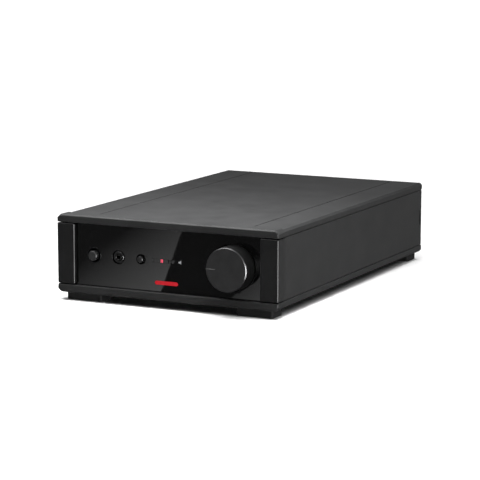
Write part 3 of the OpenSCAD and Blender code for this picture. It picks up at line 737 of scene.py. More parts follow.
@dataclass
class Case:
    """The lid, base, side walls, corner pillars, rear panel and their screws."""

    looks: Looks
    gap: float = 0.3 * MM
    wall: float = 2.0 * MM
    corner_round: float = 1.5 * MM
    rail_break: float = 3.2 * MM
    front_break: float = 1.2 * MM
    skin_break: float = 2.0 * MM
    fine_edge: float = 0.35 * MM
    groove: float = 1.0 * MM
    groove_in: float = 32 * MM
    screw_out: float = 82 * MM
    low: np.ndarray = field(init=False)
    high: np.ndarray = field(init=False)

    def __post_init__(self) -> None:
        """Reads the levels that the case's pieces share from the frame."""
        self.low, self.high = spot("right_pillar")
        lid_low, lid_high = spot("lid")
        base_low, _ = spot("base_tray")
        side_low, side_high = spot("right_side")
        fascia_low, fascia_high = spot("fascia")
        self.front, self.back = lid_low[1], lid_high[1]
        self.frame_back = self.high[1]
        self.half, self.opening = self.high[0], self.low[0]
        self.top, self.bottom = lid_high[2], base_low[2]
        self.lid_low, self.base_high = fascia_high[2] + self.gap, fascia_low[2] - self.gap
        self.body_half = side_high[0] + 0.2 * MM
        self.body_top = self.top - 1.2 * MM
        self.body_bottom = self.bottom + 0.6 * MM
        self.side = (side_low, side_high)
        self.fascia_front = fascia_low[1]

    def rail(self, inner: float, outer: float, notched: bool) -> Shape:
        """The frame's top or bottom rail, with its ends and its front edge broken.

        It is a stack of outlines. With way = +1 upwards or -1 downwards and u the distance along the
        stack, the level is inner + way (u - m(u - tall)), the ends draw in by m(u - tall + rail_break)
        and the front by m(u - tall + front_break), where m(t) = (t + sqrt(t t + e e)) / 2 is a soft
        max(0, t). The edge next to the pillars draws in by a quarter circle.

        Args:
            inner: The level of the edge next to the pillars.
            outer: The level of the free edge.
            notched: Leave room behind the front for what stands in the rail.

        Returns:
            The rail's shape.
        """
        tall, way = abs(outer - inner), math.copysign(1, outer - inner)
        soft, lip, side_lip = mm(0.3, 0.8, 0.15)

        def ease(t: np.ndarray) -> np.ndarray:
            """The soft max(0, t)."""
            return (t + np.sqrt(t * t + soft * soft)) / 2

        turn = np.linspace(0, math.pi / 2, RIM_STEPS)
        u = np.concatenate([lip * (1 - np.cos(turn)), np.linspace(lip, tall + 0.8 * MM, RAIL_ROWS)[1:]])
        lead = np.zeros_like(u)
        lead[:RIM_STEPS] = 1 - np.sin(turn)
        level = inner + way * (u - ease(u - tall))
        ends = side_lip * lead + ease(u - tall + self.rail_break)
        front = lip * lead + ease(u - tall + self.front_break)
        notch, bay = self.fascia_front - 0.2 * MM, self.opening - 3 * MM
        rings = []
        for end, face in zip(ends, front):
            x, y = self.half - end, self.front + face
            corners = [(-x, y), (x, y), (x, self.frame_back)]
            if notched:
                corners += [(bay, self.frame_back), (bay, notch), (-bay, notch), (-bay, self.frame_back)]
            corners.append((-x, self.frame_back))
            small = [0.2 * MM] * (len(corners) - 3)
            rings.append(Outline(corners, [self.corner_round] * 2 + [0.3 * MM] + small).ring(0.0))
        grid = np.stack(rings)
        shape = Shape().grid(Axis.Z.place(grid[..., 0], grid[..., 1], level[:, None]))
        return shape.cap([grid[0]], Axis.Z, level[0]).cap([grid[-1]], Axis.Z, level[-1])

    def lid(self) -> None:
        """The top cover: the front rail, and a channel whose outline carries the two grooves."""
        shape = self.rail(self.lid_low, self.top, False)
        outer, inner = self.body_half, self.body_half - self.wall
        under, skirt = self.body_top - self.wall, self.lid_low - 0.5 * MM
        line, half = self.half - self.groove_in, self.groove / 2
        deep, fold = self.body_top - self.groove, self.skin_break
        corners = [
            (-outer, skirt), (-inner, skirt), (-inner, under), (inner, under), (inner, skirt), (outer, skirt),
            (outer, self.body_top - fold), (outer - fold, self.body_top),
            (line + half, self.body_top), (line + half, deep), (line - half, deep),
            (line - half, self.body_top), (-line + half, self.body_top), (-line + half, deep),
            (-line - half, deep), (-line - half, self.body_top),
            (fold - outer, self.body_top), (-outer, self.body_top - fold),
        ]
        tiny, soft = 0.12 * MM, self.fine_edge
        radii = [soft, tiny, tiny, tiny, tiny, soft, soft, soft] + [tiny] * 8 + [soft, soft]
        channel_front = self.frame_back - 1 * MM
        shape.prism(Outline(corners, radii), Axis.Y, channel_front, self.back, (0.0, 0.3 * MM))
        for x in (-self.screw_out, 0, self.screw_out):
            tab = box_outline((x - 6 * MM, under - 7.3 * MM), (x + 6 * MM, under), 1 * MM)
            shape.prism(tab, Axis.Y, self.back - 4.5 * MM, self.back - 2.3 * MM, 0.1 * MM)
        shape.finish("lid_cover", "case", self.looks.case, "case_metal", "lid")

    def base(self) -> None:
        """The base tray: the front rail, and a shallow channel with a rear wall."""
        shape = self.rail(self.base_high, self.bottom, True)
        outer, inner = self.body_half, self.body_half - self.wall
        floor, fold = self.body_bottom + self.wall, self.skin_break
        corners = [
            (fold - outer, self.body_bottom), (outer - fold, self.body_bottom),
            (outer, self.body_bottom + fold), (outer, self.base_high),
            (inner, self.base_high), (inner, floor), (-inner, floor), (-inner, self.base_high),
            (-outer, self.base_high), (-outer, self.body_bottom + fold),
        ]
        tiny, soft, lip = 0.2 * MM, self.fine_edge, 0.6 * MM
        radii = [soft, soft, soft, lip, tiny, tiny, tiny, tiny, lip, soft]
        channel_front = self.frame_back - 1 * MM
        shape.prism(Outline(corners, radii), Axis.Y, channel_front, self.back, (0.0, 0.3 * MM))
        bay = self.opening - 3 * MM
        floor_front = box_outline((-bay, self.fascia_front - 1 * MM), (bay, self.frame_back))
        shape.prism(floor_front, Axis.Z, self.body_bottom, floor)
        wall = box_outline((-inner - 0.5 * MM, self.back - 4 * MM), (inner + 0.5 * MM, self.back - 0.4 * MM))
        shape.prism(wall, Axis.Z, floor - 0.5 * MM, self.base_high - 0.2 * MM, (0.0, 0.2 * MM))
        shape.finish("base_pan", "case", self.looks.case, "case_metal", "base_tray")

    def sides(self) -> None:
        """Each side wall, with a shallow step in the outside of its rear edge and a flange inside."""
        low, high = self.side
        middle, back = middle_of("volume_knob")[2], high[1]
        notch, deep, edge = mm(7.3, 3, 0.3)
        for name, way in (("left_side", -1), ("right_side", 1)):
            outline = Outline(
                [
                    (low[1], low[2]), (back, low[2]), (back, middle - notch), (back - deep, middle - notch),
                    (back - deep, middle + notch), (back, middle + notch), (back, high[2]), (low[1], high[2]),
                ],
                edge,
            )
            skin = sorted((way * high[0], way * (high[0] - 1 * MM)))
            core = sorted((way * (high[0] - 0.95 * MM), way * (high[0] - self.wall)))
            shape = Shape().prism(outline, Axis.X, *skin, (0.6 * MM, 0.0) if way < 0 else (0.0, 0.6 * MM))
            plain = box_outline((low[1], low[2]), (back, high[2]), edge)
            shape.prism(plain, Axis.X, *core, 0.1 * MM)
            flange = sorted((way * low[0], way * (high[0] - self.wall + 0.2 * MM)))
            plate = box_outline((flange[0], low[2] + 0.2 * MM), (flange[1], high[2] - 0.2 * MM), 0.5 * MM)
            shape.prism(plate, Axis.Y, back - self.wall, back - 0.1 * MM, 0.1 * MM)
            shape.finish(f"{name}_wall", "case", self.looks.case, "case_metal", name)

    def pillars(self) -> None:
        """Each corner pillar: its front edges rounded, its ends broken."""
        for name, way in (("left_pillar", -1), ("right_pillar", 1)):
            corners = [
                (self.opening, self.front), (self.half, self.front),
                (self.half, self.frame_back), (self.opening, self.frame_back),
            ]
            radii = [1.35 * MM, self.corner_round, self.fine_edge, self.fine_edge]
            if way < 0:
                corners = [(-x, y) for x, y in corners][::-1]
                radii = radii[::-1]
            shape = Shape().prism(Outline(corners, radii), Axis.Z, self.low[2], self.high[2], 0.7 * MM)
            # Painted shade: the pillars wear a darker copy of the case's paint, standing in for the shade on
            # their fronts.
            shape.finish(f"{name}_post", "case", self.looks.frame, "frame_black", name)

    def rear(self) -> None:
        """The rear panel with its socket openings, narrower where it reaches up inside the lid."""
        low, high = spot("rear_panel")
        step = self.lid_low - 0.8 * MM
        inner = high[0] - self.wall - self.gap
        corners = [
            (low[0], low[2]), (high[0], low[2]), (high[0], step), (inner, step),
            (inner, high[2]), (-inner, high[2]), (-inner, step), (low[0], step),
        ]
        holes: list[Outline | Circle] = []
        for name in PHONO:
            holes.append(Circle((middle_of(name)[0], spot(name)[1][2] - 5 * MM), 5.25 * MM))
        for name, wide, tall in (("usb_socket", *mm(6.2, 5.8)), ("optical_input", *mm(6.2, 6.2))):
            x, z = middle_of(name)[0], spot(name)[1][2] - tall + 0.2 * MM
            holes.append(centred(x, z, wide, tall, 0.4 * MM))
        x, _, z = middle_of("mains_inlet")
        holes.append(centred(x, z, 14.2 * MM, 17.2 * MM, 0.8 * MM))
        outline, edges = Outline(corners, 0.5 * MM), (0.1 * MM, 0.3 * MM)
        shape = Shape().prism(outline, Axis.Y, low[1], self.back, edges, holes)
        shape.finish("rear_plate", "case", self.looks.case, "case_metal", "rear_panel")

    def screws(self) -> None:
        """The pan-head screws on the back: domed heads with a driving recess, on their shanks."""
        for node, name in (("lid_screws", "lid_fixings"), ("rear_panel_screws", "panel_fixings")):
            shape = Shape()
            for low, high in solid_boxes(node):
                x, _, z = (low + high) / 2
                pan_head(shape, Axis.Y, (x, z), high[1], low[1], -1)
            shape.finish(name, "case", self.looks.nut, "screw_steel", node)

    def build(self) -> None:
        """Makes the case."""
        self.lid()
        self.base()
        self.sides()
        self.pillars()
        self.rear()
        self.screws()


@dataclass
class Feet:
    """Four low rubber feet with rounded corners, each with its screw in a recess."""

    looks: Looks
    corner: float = 2.0 * MM
    edge: float = 0.5 * MM
    recess_round: float = 4.5 * MM
    recess_deep: float = 2.5 * MM

    def build(self) -> None:
        """Makes the feet and their screws."""
        for name in ("foot_front_left", "foot_front_right", "foot_rear_left", "foot_rear_right"):
            low, high = spot(name)
            x, y, _ = middle_of(name)
            sides, deep = box_outline(low, high, self.corner), low[2] + self.recess_deep
            recess = Circle((x, y), self.recess_round, 48)
            shape = Shape().prism(sides, Axis.Z, low[2], deep, (self.edge, 0.0), [recess])
            shape.prism(sides, Axis.Z, deep, high[2])
            shape.finish(f"{name}_pad", "case", self.looks.rubber, "foot_rubber", name)
        shape = Shape()
        for low, high in solid_boxes("foot_screws"):
            x, y, _ = (low + high) / 2
            pan_head(shape, Axis.Z, (x, y), low[2], high[2], 1)
        shape.finish("foot_fixings", "case", self.looks.zinc, "screw_steel", "foot_screws")


# ---------------------------------------------------------------- the front


@dataclass
class Front:
    """The gloss fascia with its holes, and the light guides that fill its slots."""

    looks: Looks
    case: Case
    stroke: float = 0.7 * MM
    stroke_pitch: float = 1.3 * MM
    stroke_tall: float = 3.0 * MM
    slack: float = 0.1 * MM
    bar_half: float = 9.6 * MM
    bar_round: float = 1.75 * MM

    def strokes(self, middle: Pair, count: int, shrink: float) -> list[Outline]:
        """Upright strokes side by side.

        Args:
            middle: Their middle in X and Z.
            count: How many.
            shrink: How far each outline is drawn in.

        Returns:
            One outline for each stroke.
        """
        x, z = middle
        half, tall = self.stroke / 2 - shrink, self.stroke_tall / 2 - shrink
        places = [x + (k - (count - 1) / 2) * self.stroke_pitch for k in range(count)]
        return [centred(p, z, half, tall, 0.12 * MM) for p in places]

    def speaker(self, middle: Pair, shrink: float) -> Outline:
        """A plain loudspeaker outline about a middle, drawn in by shrink."""
        x, z = middle
        corners = [(-1.6, -0.7), (-0.6, -0.7), (1, -1.7), (1, 1.7), (-0.6, 0.7), (-1.6, 0.7)]
        plain = Outline([(x + a * MM, z + b * MM) for a, b in corners], 0.0, 1)
        return Outline([tuple(p) for p in plain.ring(shrink)[::2]], 0.0, 1)

    def lamp(self, node: str, slots: list[Outline], look: bpy.types.Material, slot: str) -> None:
        """One light guide: its face in each slot, on a shared back.

        Args:
            node: The node that it stands for.
            slots: Its outlines.
            look: Its material.
            slot: The record's slot.
        """
        low, high = spot(node)
        back = self.case.fascia_front + 3 * MM
        shape = Shape()
        for outline in slots:
            shape.prism(outline, Axis.Y, low[1], back)
        shape.prism(front_outline(low, high, 0.6 * MM), Axis.Y, back, high[1], (0.0, 0.3 * MM))
        shape.finish(f"{node}_guide", "case", look, slot, node)

    def build(self) -> None:
        """Makes the fascia and the lights."""
        looks, row = self.looks, middle_of("volume_knob")[2]
        low, high = spot("fascia")
        holes: list[Outline | Circle] = []
        for node, radius in ROUND_HOLES.items():
            holes.append(Circle((middle_of(node)[0], row), radius, 128))
        places = [(middle_of(f"input_light_{k}")[0], row) for k in (1, 2, 3)]
        for k, place in enumerate(places, 1):
            holes.extend(self.strokes(place, k, 0.0))
        mute, (x, _, z) = (middle_of("mute_light")[0], row), middle_of("status_light")
        holes.append(self.speaker(mute, 0.0))
        holes.append(capsule((x, z), self.bar_half, self.bar_round))
        outline = front_outline(low, high, 0.4 * MM)
        shape = Shape().prism(outline, Axis.Y, low[1], high[1], (0.14 * MM, 0.0), holes)
        shape.finish("gloss_front", "case", looks.fascia, "fascia_gloss", "fascia")
        dress = ((looks.off, "light_clear"), (looks.pink, "light_red"), (looks.off, "light_clear"))
        for k, (place, (look, slot)) in enumerate(zip(places, dress), 1):
            self.lamp(f"input_light_{k}", self.strokes(place, k, self.slack), look, slot)
        self.lamp("mute_light", [self.speaker(mute, self.slack)], looks.white, "light_white")
        bar = capsule((x, z), self.bar_half, self.bar_round - self.slack)
        self.lamp("status_light", [bar], looks.red, "light_red")


@dataclass
class Controls:
    """The volume knob, the two buttons and the headphone socket."""

    looks: Looks
    case: Case
    pointer_depth: float = 0.2 * MM
    pointer_half: float = 0.32 * MM
    pointer_long: float = 8.2 * MM
    pointer_in: float = 0.6 * MM

    def knob(self) -> None:
        """The knob: a turned drum with a broken front rim, hollow at the back, and its pointer."""
        low, high = spot("volume_knob")
        (x, _, z), radius = middle_of("volume_knob"), (high[0] - low[0]) / 2
        front, back = low[1], high[1]
        shaft, hollow = mm(3, 8)
        profile = [
            (0, front + 0.04 * MM), (radius - 0.7 * MM, front + 0.04 * MM), (radius, front + 0.85 * MM),
            (radius, back), (hollow, back), (hollow, back - 6 * MM), (shaft, back - 6 * MM),
            (shaft, front + 5 * MM), (0, front + 5 * MM),
        ]
        radii = mm(0, 0.25, 0.25, 0.4, 0.3, 0.1, 0.1, 0.1, 0)
        shape = Shape().lathe(profile, radii, Axis.Y, (x, z), 160)
        shape.finish("volume_dial", "volume", self.looks.knob, "knob_metal", "volume_knob")
        start = low[0] + self.pointer_in
        end = start + self.pointer_long
        line = box_outline((start, z - self.pointer_half), (end, z + self.pointer_half), 0.2 * MM)
        mark = Shape().prism(line, Axis.Y, front, front + self.pointer_depth)
        mark.finish("dial_pointer", "volume", self.looks.pointer, "pointer_white", "knob_pointer")

    def power(self) -> None:
        """The power button's domed cap on its stem, in its dished ring."""
        low, high = spot("power_button")
        (x, _, z), radius = middle_of("power_button"), (high[0] - low[0]) / 2
        front, face = low[1], self.case.fascia_front
        back = face + 3.2 * MM
        cap = [
            (0, front), (radius * 0.82, front + 0.12 * MM), (radius, front + 0.9 * MM),
            (radius, back), (0, back),
        ]
        shape = Shape().lathe(cap, mm(0, 0.5, 0.3, 0.1, 0), Axis.Y, (x, z), 72)
        stem = centred(x, z, 1.5 * MM, 1.5 * MM, 0.2 * MM)
        shape.prism(stem, Axis.Y, back, high[1], 0.1 * MM)
        shape.finish("power_cap", "power", self.looks.power, "button_metal", "power_button")
        low, high = spot("power_button_ring")
        outer, inner = (high[0] - low[0]) / 2, radius + 0.35 * MM
        front, back = low[1], high[1]
        dish = [
            (outer, front), (outer, back), (inner, back), (inner, face + 1.8 * MM), (outer - 0.6 * MM, front),
        ]
        ring = Shape().lathe(dish, mm(0.15, 0.05, 0.1, 0.2, 0.15), Axis.Y, (x, z), 96)
        ring.finish("power_dish", "case", self.looks.ring, "ring_metal", "power_button_ring")

    def source(self) -> None:
        """The small source button with its hidden flange and plunger."""
        low, high = spot("source_button")
        (x, _, z), front, back = middle_of("source_button"), low[1], high[1]
        cap, flange, stem = mm(2.8, 4.0, 1.0)
        step = self.case.fascia_front + 4.8 * MM
        profile = [
            (0, front), (cap - 0.5 * MM, front + 0.05 * MM), (cap, front + 0.6 * MM), (cap, step),
            (flange, step), (flange, step + 1.2 * MM), (stem, step + 1.2 * MM), (stem, back), (0, back),
        ]
        radii = mm(0, 0.3, 0.2, 0.05, 0.1, 0.1, 0.05, 0.1, 0)
        shape = Shape().lathe(profile, radii, Axis.Y, (x, z), 64)
        shape.finish("source_cap", "source", self.looks.source, "button_metal", "source_button")

    def headphones(self) -> None:
        """The headphone socket's barrel and body, and the nut with its washer."""
        low, high = spot("headphone_jack")
        x, z = middle_of("headphone_jack")[0], low[2] + 5 * MM
        step = self.case.fascia_front + 4.5 * MM
        bore, deep = 1.8 * MM, high[1] - 1.5 * MM
        barrel = [
            (bore, low[1] + 0.3 * MM), (bore + 0.4 * MM, low[1]), (3 * MM, low[1]),
            (3 * MM, step), (bore, step),
        ]
        shape = Shape().lathe(barrel, mm(0.1, 0.1, 0.15, 0.05, 0), Axis.Y, (x, z), 64)
        body = front_outline(low, high, 0.5 * MM)
        shape.prism(body, Axis.Y, step, deep, (0.2 * MM, 0.0), [Circle((x, z), bore, 48)])
        shape.prism(body, Axis.Y, deep, high[1], (0.0, 0.2 * MM))
        shape.finish("headphone_barrel", "case", self.looks.socket_black, "switch_plastic", "headphone_jack")
        low, high = spot("headphone_nut")
        washer, nut = (high[0] - low[0]) / 2, 4.9 * MM
        front, back = low[1], high[1]
        profile = [
            (3 * MM, front + 0.6 * MM), (3.7 * MM, front), (nut - 0.2 * MM, front), (nut, front + 0.2 * MM),
            (nut, front + 2.2 * MM), (washer, front + 2.2 * MM), (washer, back), (3 * MM, back),
        ]
        shape = Shape().lathe(profile, [0.1 * MM] * 4 + [0.05 * MM] * 4, Axis.Y, (x, z), 72)
        shape.finish("headphone_ring_nut", "case", self.looks.nut, "screw_steel", "headphone_nut")

    def build(self) -> None:
        """Makes the controls."""
        self.knob()
        self.power()
        self.source()
        self.headphones()


# ---------------------------------------------------------------- the back


@dataclass
class Sockets:
    """The rear sockets: phono, USB, optical and mains, with the fuse drawer."""

    looks: Looks
    case: Case

    def phono(self, node: str) -> None:
        """A phono socket: a thin shell on a collar, round a white insulator with its centre hole.

        Args:
            node: The node that it stands for.
        """
        low, high = spot(node)
        x, z = middle_of(node)[0], high[2] - 5 * MM
        tip, panel, inside = high[1], self.case.back, self.case.back - 2 * MM
        shell, collar, bore = mm(4.15, 5.15, 3.5)
        profile = [
            (bore, tip), (shell, tip), (shell, panel + 1 * MM), (collar, panel + 1 * MM), (collar, inside),
            (0, inside), (0, inside + 1 * MM), (bore, inside + 1 * MM),
        ]
        radii = mm(0.15, 0.25, 0.1, 0.2, 0.05, 0, 0, 0.05)
        shape = Shape().lathe(profile, radii, Axis.Y, (x, z), 72)
        body = box_outline((low[0] + 0.15 * MM, low[2]), (high[0] - 0.15 * MM, z + 5 * MM), 0.5 * MM)
        shape.prism(body, Axis.Y, low[1], inside, 0.2 * MM)
        shape.finish(f"{node}_shell", "case", self.looks.gold, "phono_gold", node)
        plug, hole, face = bore - 0.02 * MM, 1.65 * MM, tip - 0.4 * MM
        pin = [
            (plug, inside + 1 * MM), (plug, face), (hole, face), (hole, inside + 2 * MM),
            (0, inside + 2 * MM), (0, inside + 1 * MM),
        ]
        core = Shape().lathe(pin, mm(0, 0.3, 0.3, 0, 0, 0), Axis.Y, (x, z), 48)
        core.finish(f"{node}_insulator", "case", self.looks.white_plastic, "phono_gold")

    def usb(self) -> None:
        """The square USB socket: a plated shell with its top corners cut, and its tongue."""
        low, high = spot("usb_socket")
        x, z = middle_of("usb_socket")[0], high[2] - 5.6 * MM
        inside = self.case.back - 2 * MM
        mouth_back = inside - 7 * MM
        mouth = cut_top((x - 4.3 * MM, z - 4 * MM), (x + 4.3 * MM, z + 4 * MM), 1.7 * MM, 0.3 * MM)
        nose = centred(x, z, 6 * MM, 5.6 * MM, 0.5 * MM)
        body = front_outline(low, high, 0.5 * MM)
        shape = Shape().prism(nose, Axis.Y, mouth_back, high[1], (0.0, 0.15 * MM), [mouth])
        shape.prism(body, Axis.Y, low[1], mouth_back, 0.1 * MM)
        shape.finish("usb_shell_can", "case", self.looks.nickel, "usb_shell", "usb_socket")
        tongue = centred(x, z, 2.8 * MM, 1.6 * MM, 0.4 * MM)
        core = Shape().prism(tongue, Axis.Y, mouth_back, self.case.back - 2.4 * MM, (0.0, 0.3 * MM))
        core.finish("usb_tongue", "case", self.looks.white_plastic, "usb_shell")

    def optical(self) -> None:
        """The optical input's housing, open to the back, and its sprung flap on a pin."""
        low, high = spot("optical_input")
        x, z = middle_of("optical_input")[0], high[2] - 6 * MM
        cavity_back = self.case.back - 11 * MM
        mouth, nose = (centred(x, z, half * MM, half * MM, 0.5 * MM) for half in (4.6, 6))
        shape = Shape().prism(nose, Axis.Y, cavity_back, high[1], (0.0, 0.2 * MM), [mouth])
        body = front_outline(low, high, 0.5 * MM)
        shape.prism(body, Axis.Y, low[1], cavity_back, 0.1 * MM)
        shape.finish("optical_housing", "case", self.looks.socket_black, "optical_plastic", "optical_input")
        low, high = spot("optical_shutter")
        pin_y, pin_z = (low[1] + high[1]) / 2, high[2] - 0.6 * MM
        flap = box_outline((x - 4.2 * MM, low[2]), (x + 4.2 * MM, pin_z), 0.4 * MM)
        door = Shape().prism(flap, Axis.Y, pin_y - 0.4 * MM, pin_y + 0.4 * MM, 0.12 * MM)
        rib = centred(x, z, 2.2 * MM, 2.2 * MM, 0.8 * MM)
        door.prism(rib, Axis.Y, pin_y + 0.3 * MM, pin_y + 0.52 * MM, (0.0, 0.08 * MM))
        door.prism(Circle((pin_y, pin_z), 0.6 * MM, 24), Axis.X, low[0], high[0], 0.1 * MM)
        door.finish("optical_flap", "shutter", self.looks.black_plastic, "optical_plastic", "optical_shutter")

    def mains(self) -> None:
        """The mains inlet with its recess, three blades, and the fuse drawer with its fuse."""
        low, high = spot("mains_inlet")
        x, _, z = middle_of("mains_inlet")
        panel, flange = self.case.back, high[1]
        recess_back, inner = flange - 16.5 * MM, low[1]
        recess = cut_top((x - 12.1 * MM, z - 1.5 * MM), (x + 12.1 * MM, z + 14.7 * MM), 4.5 * MM, 0.8 * MM)
        slot = box_outline((x - 11.2 * MM, z - 13.7 * MM), (x + 11.2 * MM, z - 4.8 * MM), 0.3 * MM)
        rim = front_outline(low, high, 2.5 * MM)
        body = centred(x, z, 14 * MM, 17 * MM, 0.6 * MM)
        shape = Shape().prism(rim, Axis.Y, panel, flange, (0.0, 0.7 * MM), [recess, slot])
        shape.prism(body, Axis.Y, recess_back, panel, 0.0, [recess, slot])
        shape.prism(body, Axis.Y, inner + 4 * MM, recess_back, 0.0, [slot])
        shape.prism(body, Axis.Y, inner, inner + 4 * MM)
        shape.finish("inlet_housing", "case", self.looks.black_plastic, "inlet_plastic", "mains_inlet")
        blades = Shape()
        for a, b in solid_boxes("inlet_pins"):
            blades.prism(front_outline(a, b, 0.3 * MM), Axis.Y, a[1], b[1], (0.1 * MM, 0.6 * MM))
        blades.finish("inlet_blades", "case", self.looks.nickel, "contact_metal", "inlet_pins")
        self.drawer()

    def drawer(self) -> None:
        """The fuse drawer: a plug-shaped box with a pocket for the fuse and a lip to pull."""
        low, high = spot("fuse_drawer")
        flange = high[1] - 1.2 * MM
        pocket_low, pocket_high = self.case.back - 12 * MM, self.case.back - 5.5 * MM
        outline = front_outline(low, high, 0.4 * MM)
        shape = Shape().prism(outline, Axis.Y, low[1], pocket_low, (0.3 * MM, 0.0))
        shape.prism(outline, Axis.Y, pocket_high, flange)
        floor = box_outline((low[0], low[2]), (high[0], low[2] + 1.7 * MM), 0.2 * MM)
        shape.prism(floor, Axis.Y, pocket_low, pocket_high)
        for edge in (low[0], high[0] - 0.7 * MM):
            cheek = box_outline((edge, low[2] + 1.7 * MM), (edge + 0.7 * MM, high[2]), 0.1 * MM)
            shape.prism(cheek, Axis.Y, pocket_low, pocket_high)
        (left, _, bottom), (right, _, top) = low, high
        middle, nick = (left + right) / 2, top - 1.2 * MM
        grip = [
            (left, bottom), (right, bottom), (right, top), (middle + 4 * MM, top), (middle + 4 * MM, nick),
            (middle - 4 * MM, nick), (middle - 4 * MM, top), (left, top),
        ]
        shape.prism(Outline(grip, 0.3 * MM), Axis.Y, flange, high[1], (0.0, 0.35 * MM))
        shape.finish("fuse_tray", "drawer", self.looks.black_plastic, "inlet_plastic", "fuse_drawer")
        low, high = spot("fuse")
        _, y, z = middle_of("fuse")
        glass, cap, cap_long = mm(2.5, 2.7, 5)
        profile = [
            (0, low[0]), (cap, low[0]), (cap, low[0] + cap_long), (glass, low[0] + cap_long),
            (glass, high[0] - cap_long), (cap, high[0] - cap_long), (cap, high[0]), (0, high[0]),
        ]
        radii = mm(0, 0.3, 0.1, 0.05, 0.05, 0.1, 0.3, 0)
        shape = Shape().lathe(profile, radii, Axis.X, (y, z), 40)
        shape.finish("glass_fuse", "drawer", self.looks.nickel, "fuse_glass", "fuse")

    def build(self) -> None:
        """Makes the sockets."""
        for node in PHONO:
            self.phono(node)
        self.usb()
        self.optical()
        self.mains()


# ---------------------------------------------------------------- the inside


@dataclass
class Inside:
    """The transformer, capacitors, wires and the plain parts that keep their own shape."""

    looks: Looks

    def transformer(self) -> None:
        """A ring winding whose turns stand out as shallow ribs.

        The winding is a grid of two angles: a round the ring and b round its section. The section is
        the rounded box of the frame's own solid, and it swells by ripple * |sin(turns a / 2)|.
        """
        low, high = spot("transformer")
        middle, outer = middle_of("transformer"), (high[0] - low[0]) / 2
        hole, turns, ripple = 14 * MM, 90, 0.35 * MM
        section = Outline(
            [(hole, low[2]), (outer - ripple, low[2]), (outer - ripple, high[2]), (hole, high[2])], 6 * MM, 5
        ).ring(ripple)
        a = np.linspace(0, 2 * math.pi, turns * 8, endpoint=False)[None, :]
        swell = ripple * np.abs(np.sin(turns * a / 2))
        centre = np.array([(hole + outer) / 2, (low[2] + high[2]) / 2])
        out = section - centre
        out /= np.linalg.norm(out, axis=1, keepdims=True)
        r = section[:, :1] + out[:, :1] * swell
        h = section[:, 1:] + out[:, 1:] * swell
        points = Axis.Z.place(middle[0] + r * np.cos(a), middle[1] + r * np.sin(a), h)
        Shape().grid(points, close_rows=True).finish(
            "ring_winding", "case", self.looks.winding, "winding_varnish", "transformer"
        )

    def capacitors(self) -> None:
        """The four large capacitors: a crimped waist near the foot and a rolled rim round the top."""
        shape = Shape()
        for low, high in solid_boxes("reservoir_capacitors"):
            (x, y, _), radius = (low + high) / 2, (high[0] - low[0]) / 2
            foot, top = low[2], high[2]
            profile = [
                (0, foot), (radius, foot), (radius, foot + 2 * MM), (radius - 0.7 * MM, foot + 2.8 * MM),
                (radius, foot + 3.6 * MM), (radius, top), (radius - 1.2 * MM, top),
                (radius - 1.8 * MM, top - 0.5 * MM), (0, top - 0.5 * MM),
            ]
            radii = mm(0, 0.6, 0.4, 0.5, 0.4, 0.5, 0.3, 0.2, 0)
            shape.lathe(profile, radii, Axis.Z, (x, y), 64)
        shape.finish(
            "sleeved_capacitors", "case", self.looks.sleeve, "capacitor_sleeve", "reservoir_capacitors"
        )

    def keep(self) -> None:
        """Dresses the nodes that keep their own shape."""
        looks = self.looks
        finishes = {
            "front_subframe": looks.steel, "volume_shaft": looks.satin_metal,
            "volume_control": looks.satin_metal, "volume_control_nut": looks.zinc,
            "power_switch": looks.black_plastic, "source_switch": looks.black_plastic,
            "front_board": looks.board, "main_board": looks.board, "indicator_leds": looks.clear,
            "remote_receiver": looks.socket_black, "ribbon_cable": looks.ribbon,
            "board_standoffs": looks.zinc, "board_screws": looks.zinc,
            "transformer_pads": looks.rubber, "transformer_bolt": looks.zinc,
            "mains_wires": looks.wire, "film_capacitors": looks.film, "rectifier": looks.chip,
            "regulators": looks.heatsink, "chips": looks.chip, "output_relay": looks.black_plastic,
        }
        for node, look in finishes.items():
            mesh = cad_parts[node].data
            mesh.materials.clear()
            mesh.materials.append(look)

    def build(self) -> None:
        """Makes the inside."""
        self.transformer()
        self.capacitors()
        self.keep()


# ---------------------------------------------------------------- the studio


@dataclass(frozen=True)
class Light:
    """A soft rectangular light that looks at a point."""

    name: str
    place: Point
    target: Point
    size: Pair
    power: float

    def build(self) -> None:
        """Makes the light."""
        data = bpy.data.lights.new(self.name, "AREA")
        data.shape = "RECTANGLE"
        data.size, data.size_y = self.size
        data.energy = self.power
        lamp = stand(self.name, data)
        lamp.location = self.place
        lamp.rotation_euler = (Vector(self.target) - Vector(self.place)).to_track_quat("-Z", "Y").to_euler()
        lamp.visible_camera = lamp.visible_glossy = False


@dataclass(frozen=True)
class Card:
    """A glowing card that only shows in reflections, and fades along one direction."""

    name: str
    corners: tuple[Point, ...]
    glow: float
    dark: Point = (0.0, -2.0, 0.0)
    bright: Point = (0.0, -1.9, 0.0)
    least: float = 0.0

    def build(self) -> None:
        """Makes the card.

        Its glow goes from its least at the dark point to full at the bright point, along the line that
        joins them: t = (p - dark) . (bright - dark) / |bright - dark| ^ 2. Every card lies past the
        bright point that stands here by default, so a card that keeps it glows evenly.
        """
        mesh = bpy.data.meshes.new(self.name)
        mesh.from_pydata(self.corners, [], [tuple(range(len(self.corners)))])
        n = Nodes(self.name)
        step = Vector(self.bright) - Vector(self.dark)
        n.set(Roughness=1.0, Specular_IOR_Level=0.0, Base_Color=(0, 0, 0, 1), Emission_Strength=self.glow)
        step /= step.length_squared
        along = n.new("ShaderNodeVectorMath", n.mapped(self.dark), step, operation="DOT_PRODUCT")
        n.set(Emission_Color=n.ramp(along.outputs["Value"], [self.least] * 3, (1, 1, 1)))
        mesh.materials.append(n.material)
        card = stand(self.name, mesh)
        card.visible_camera = card.visible_diffuse = card.visible_shadow = False


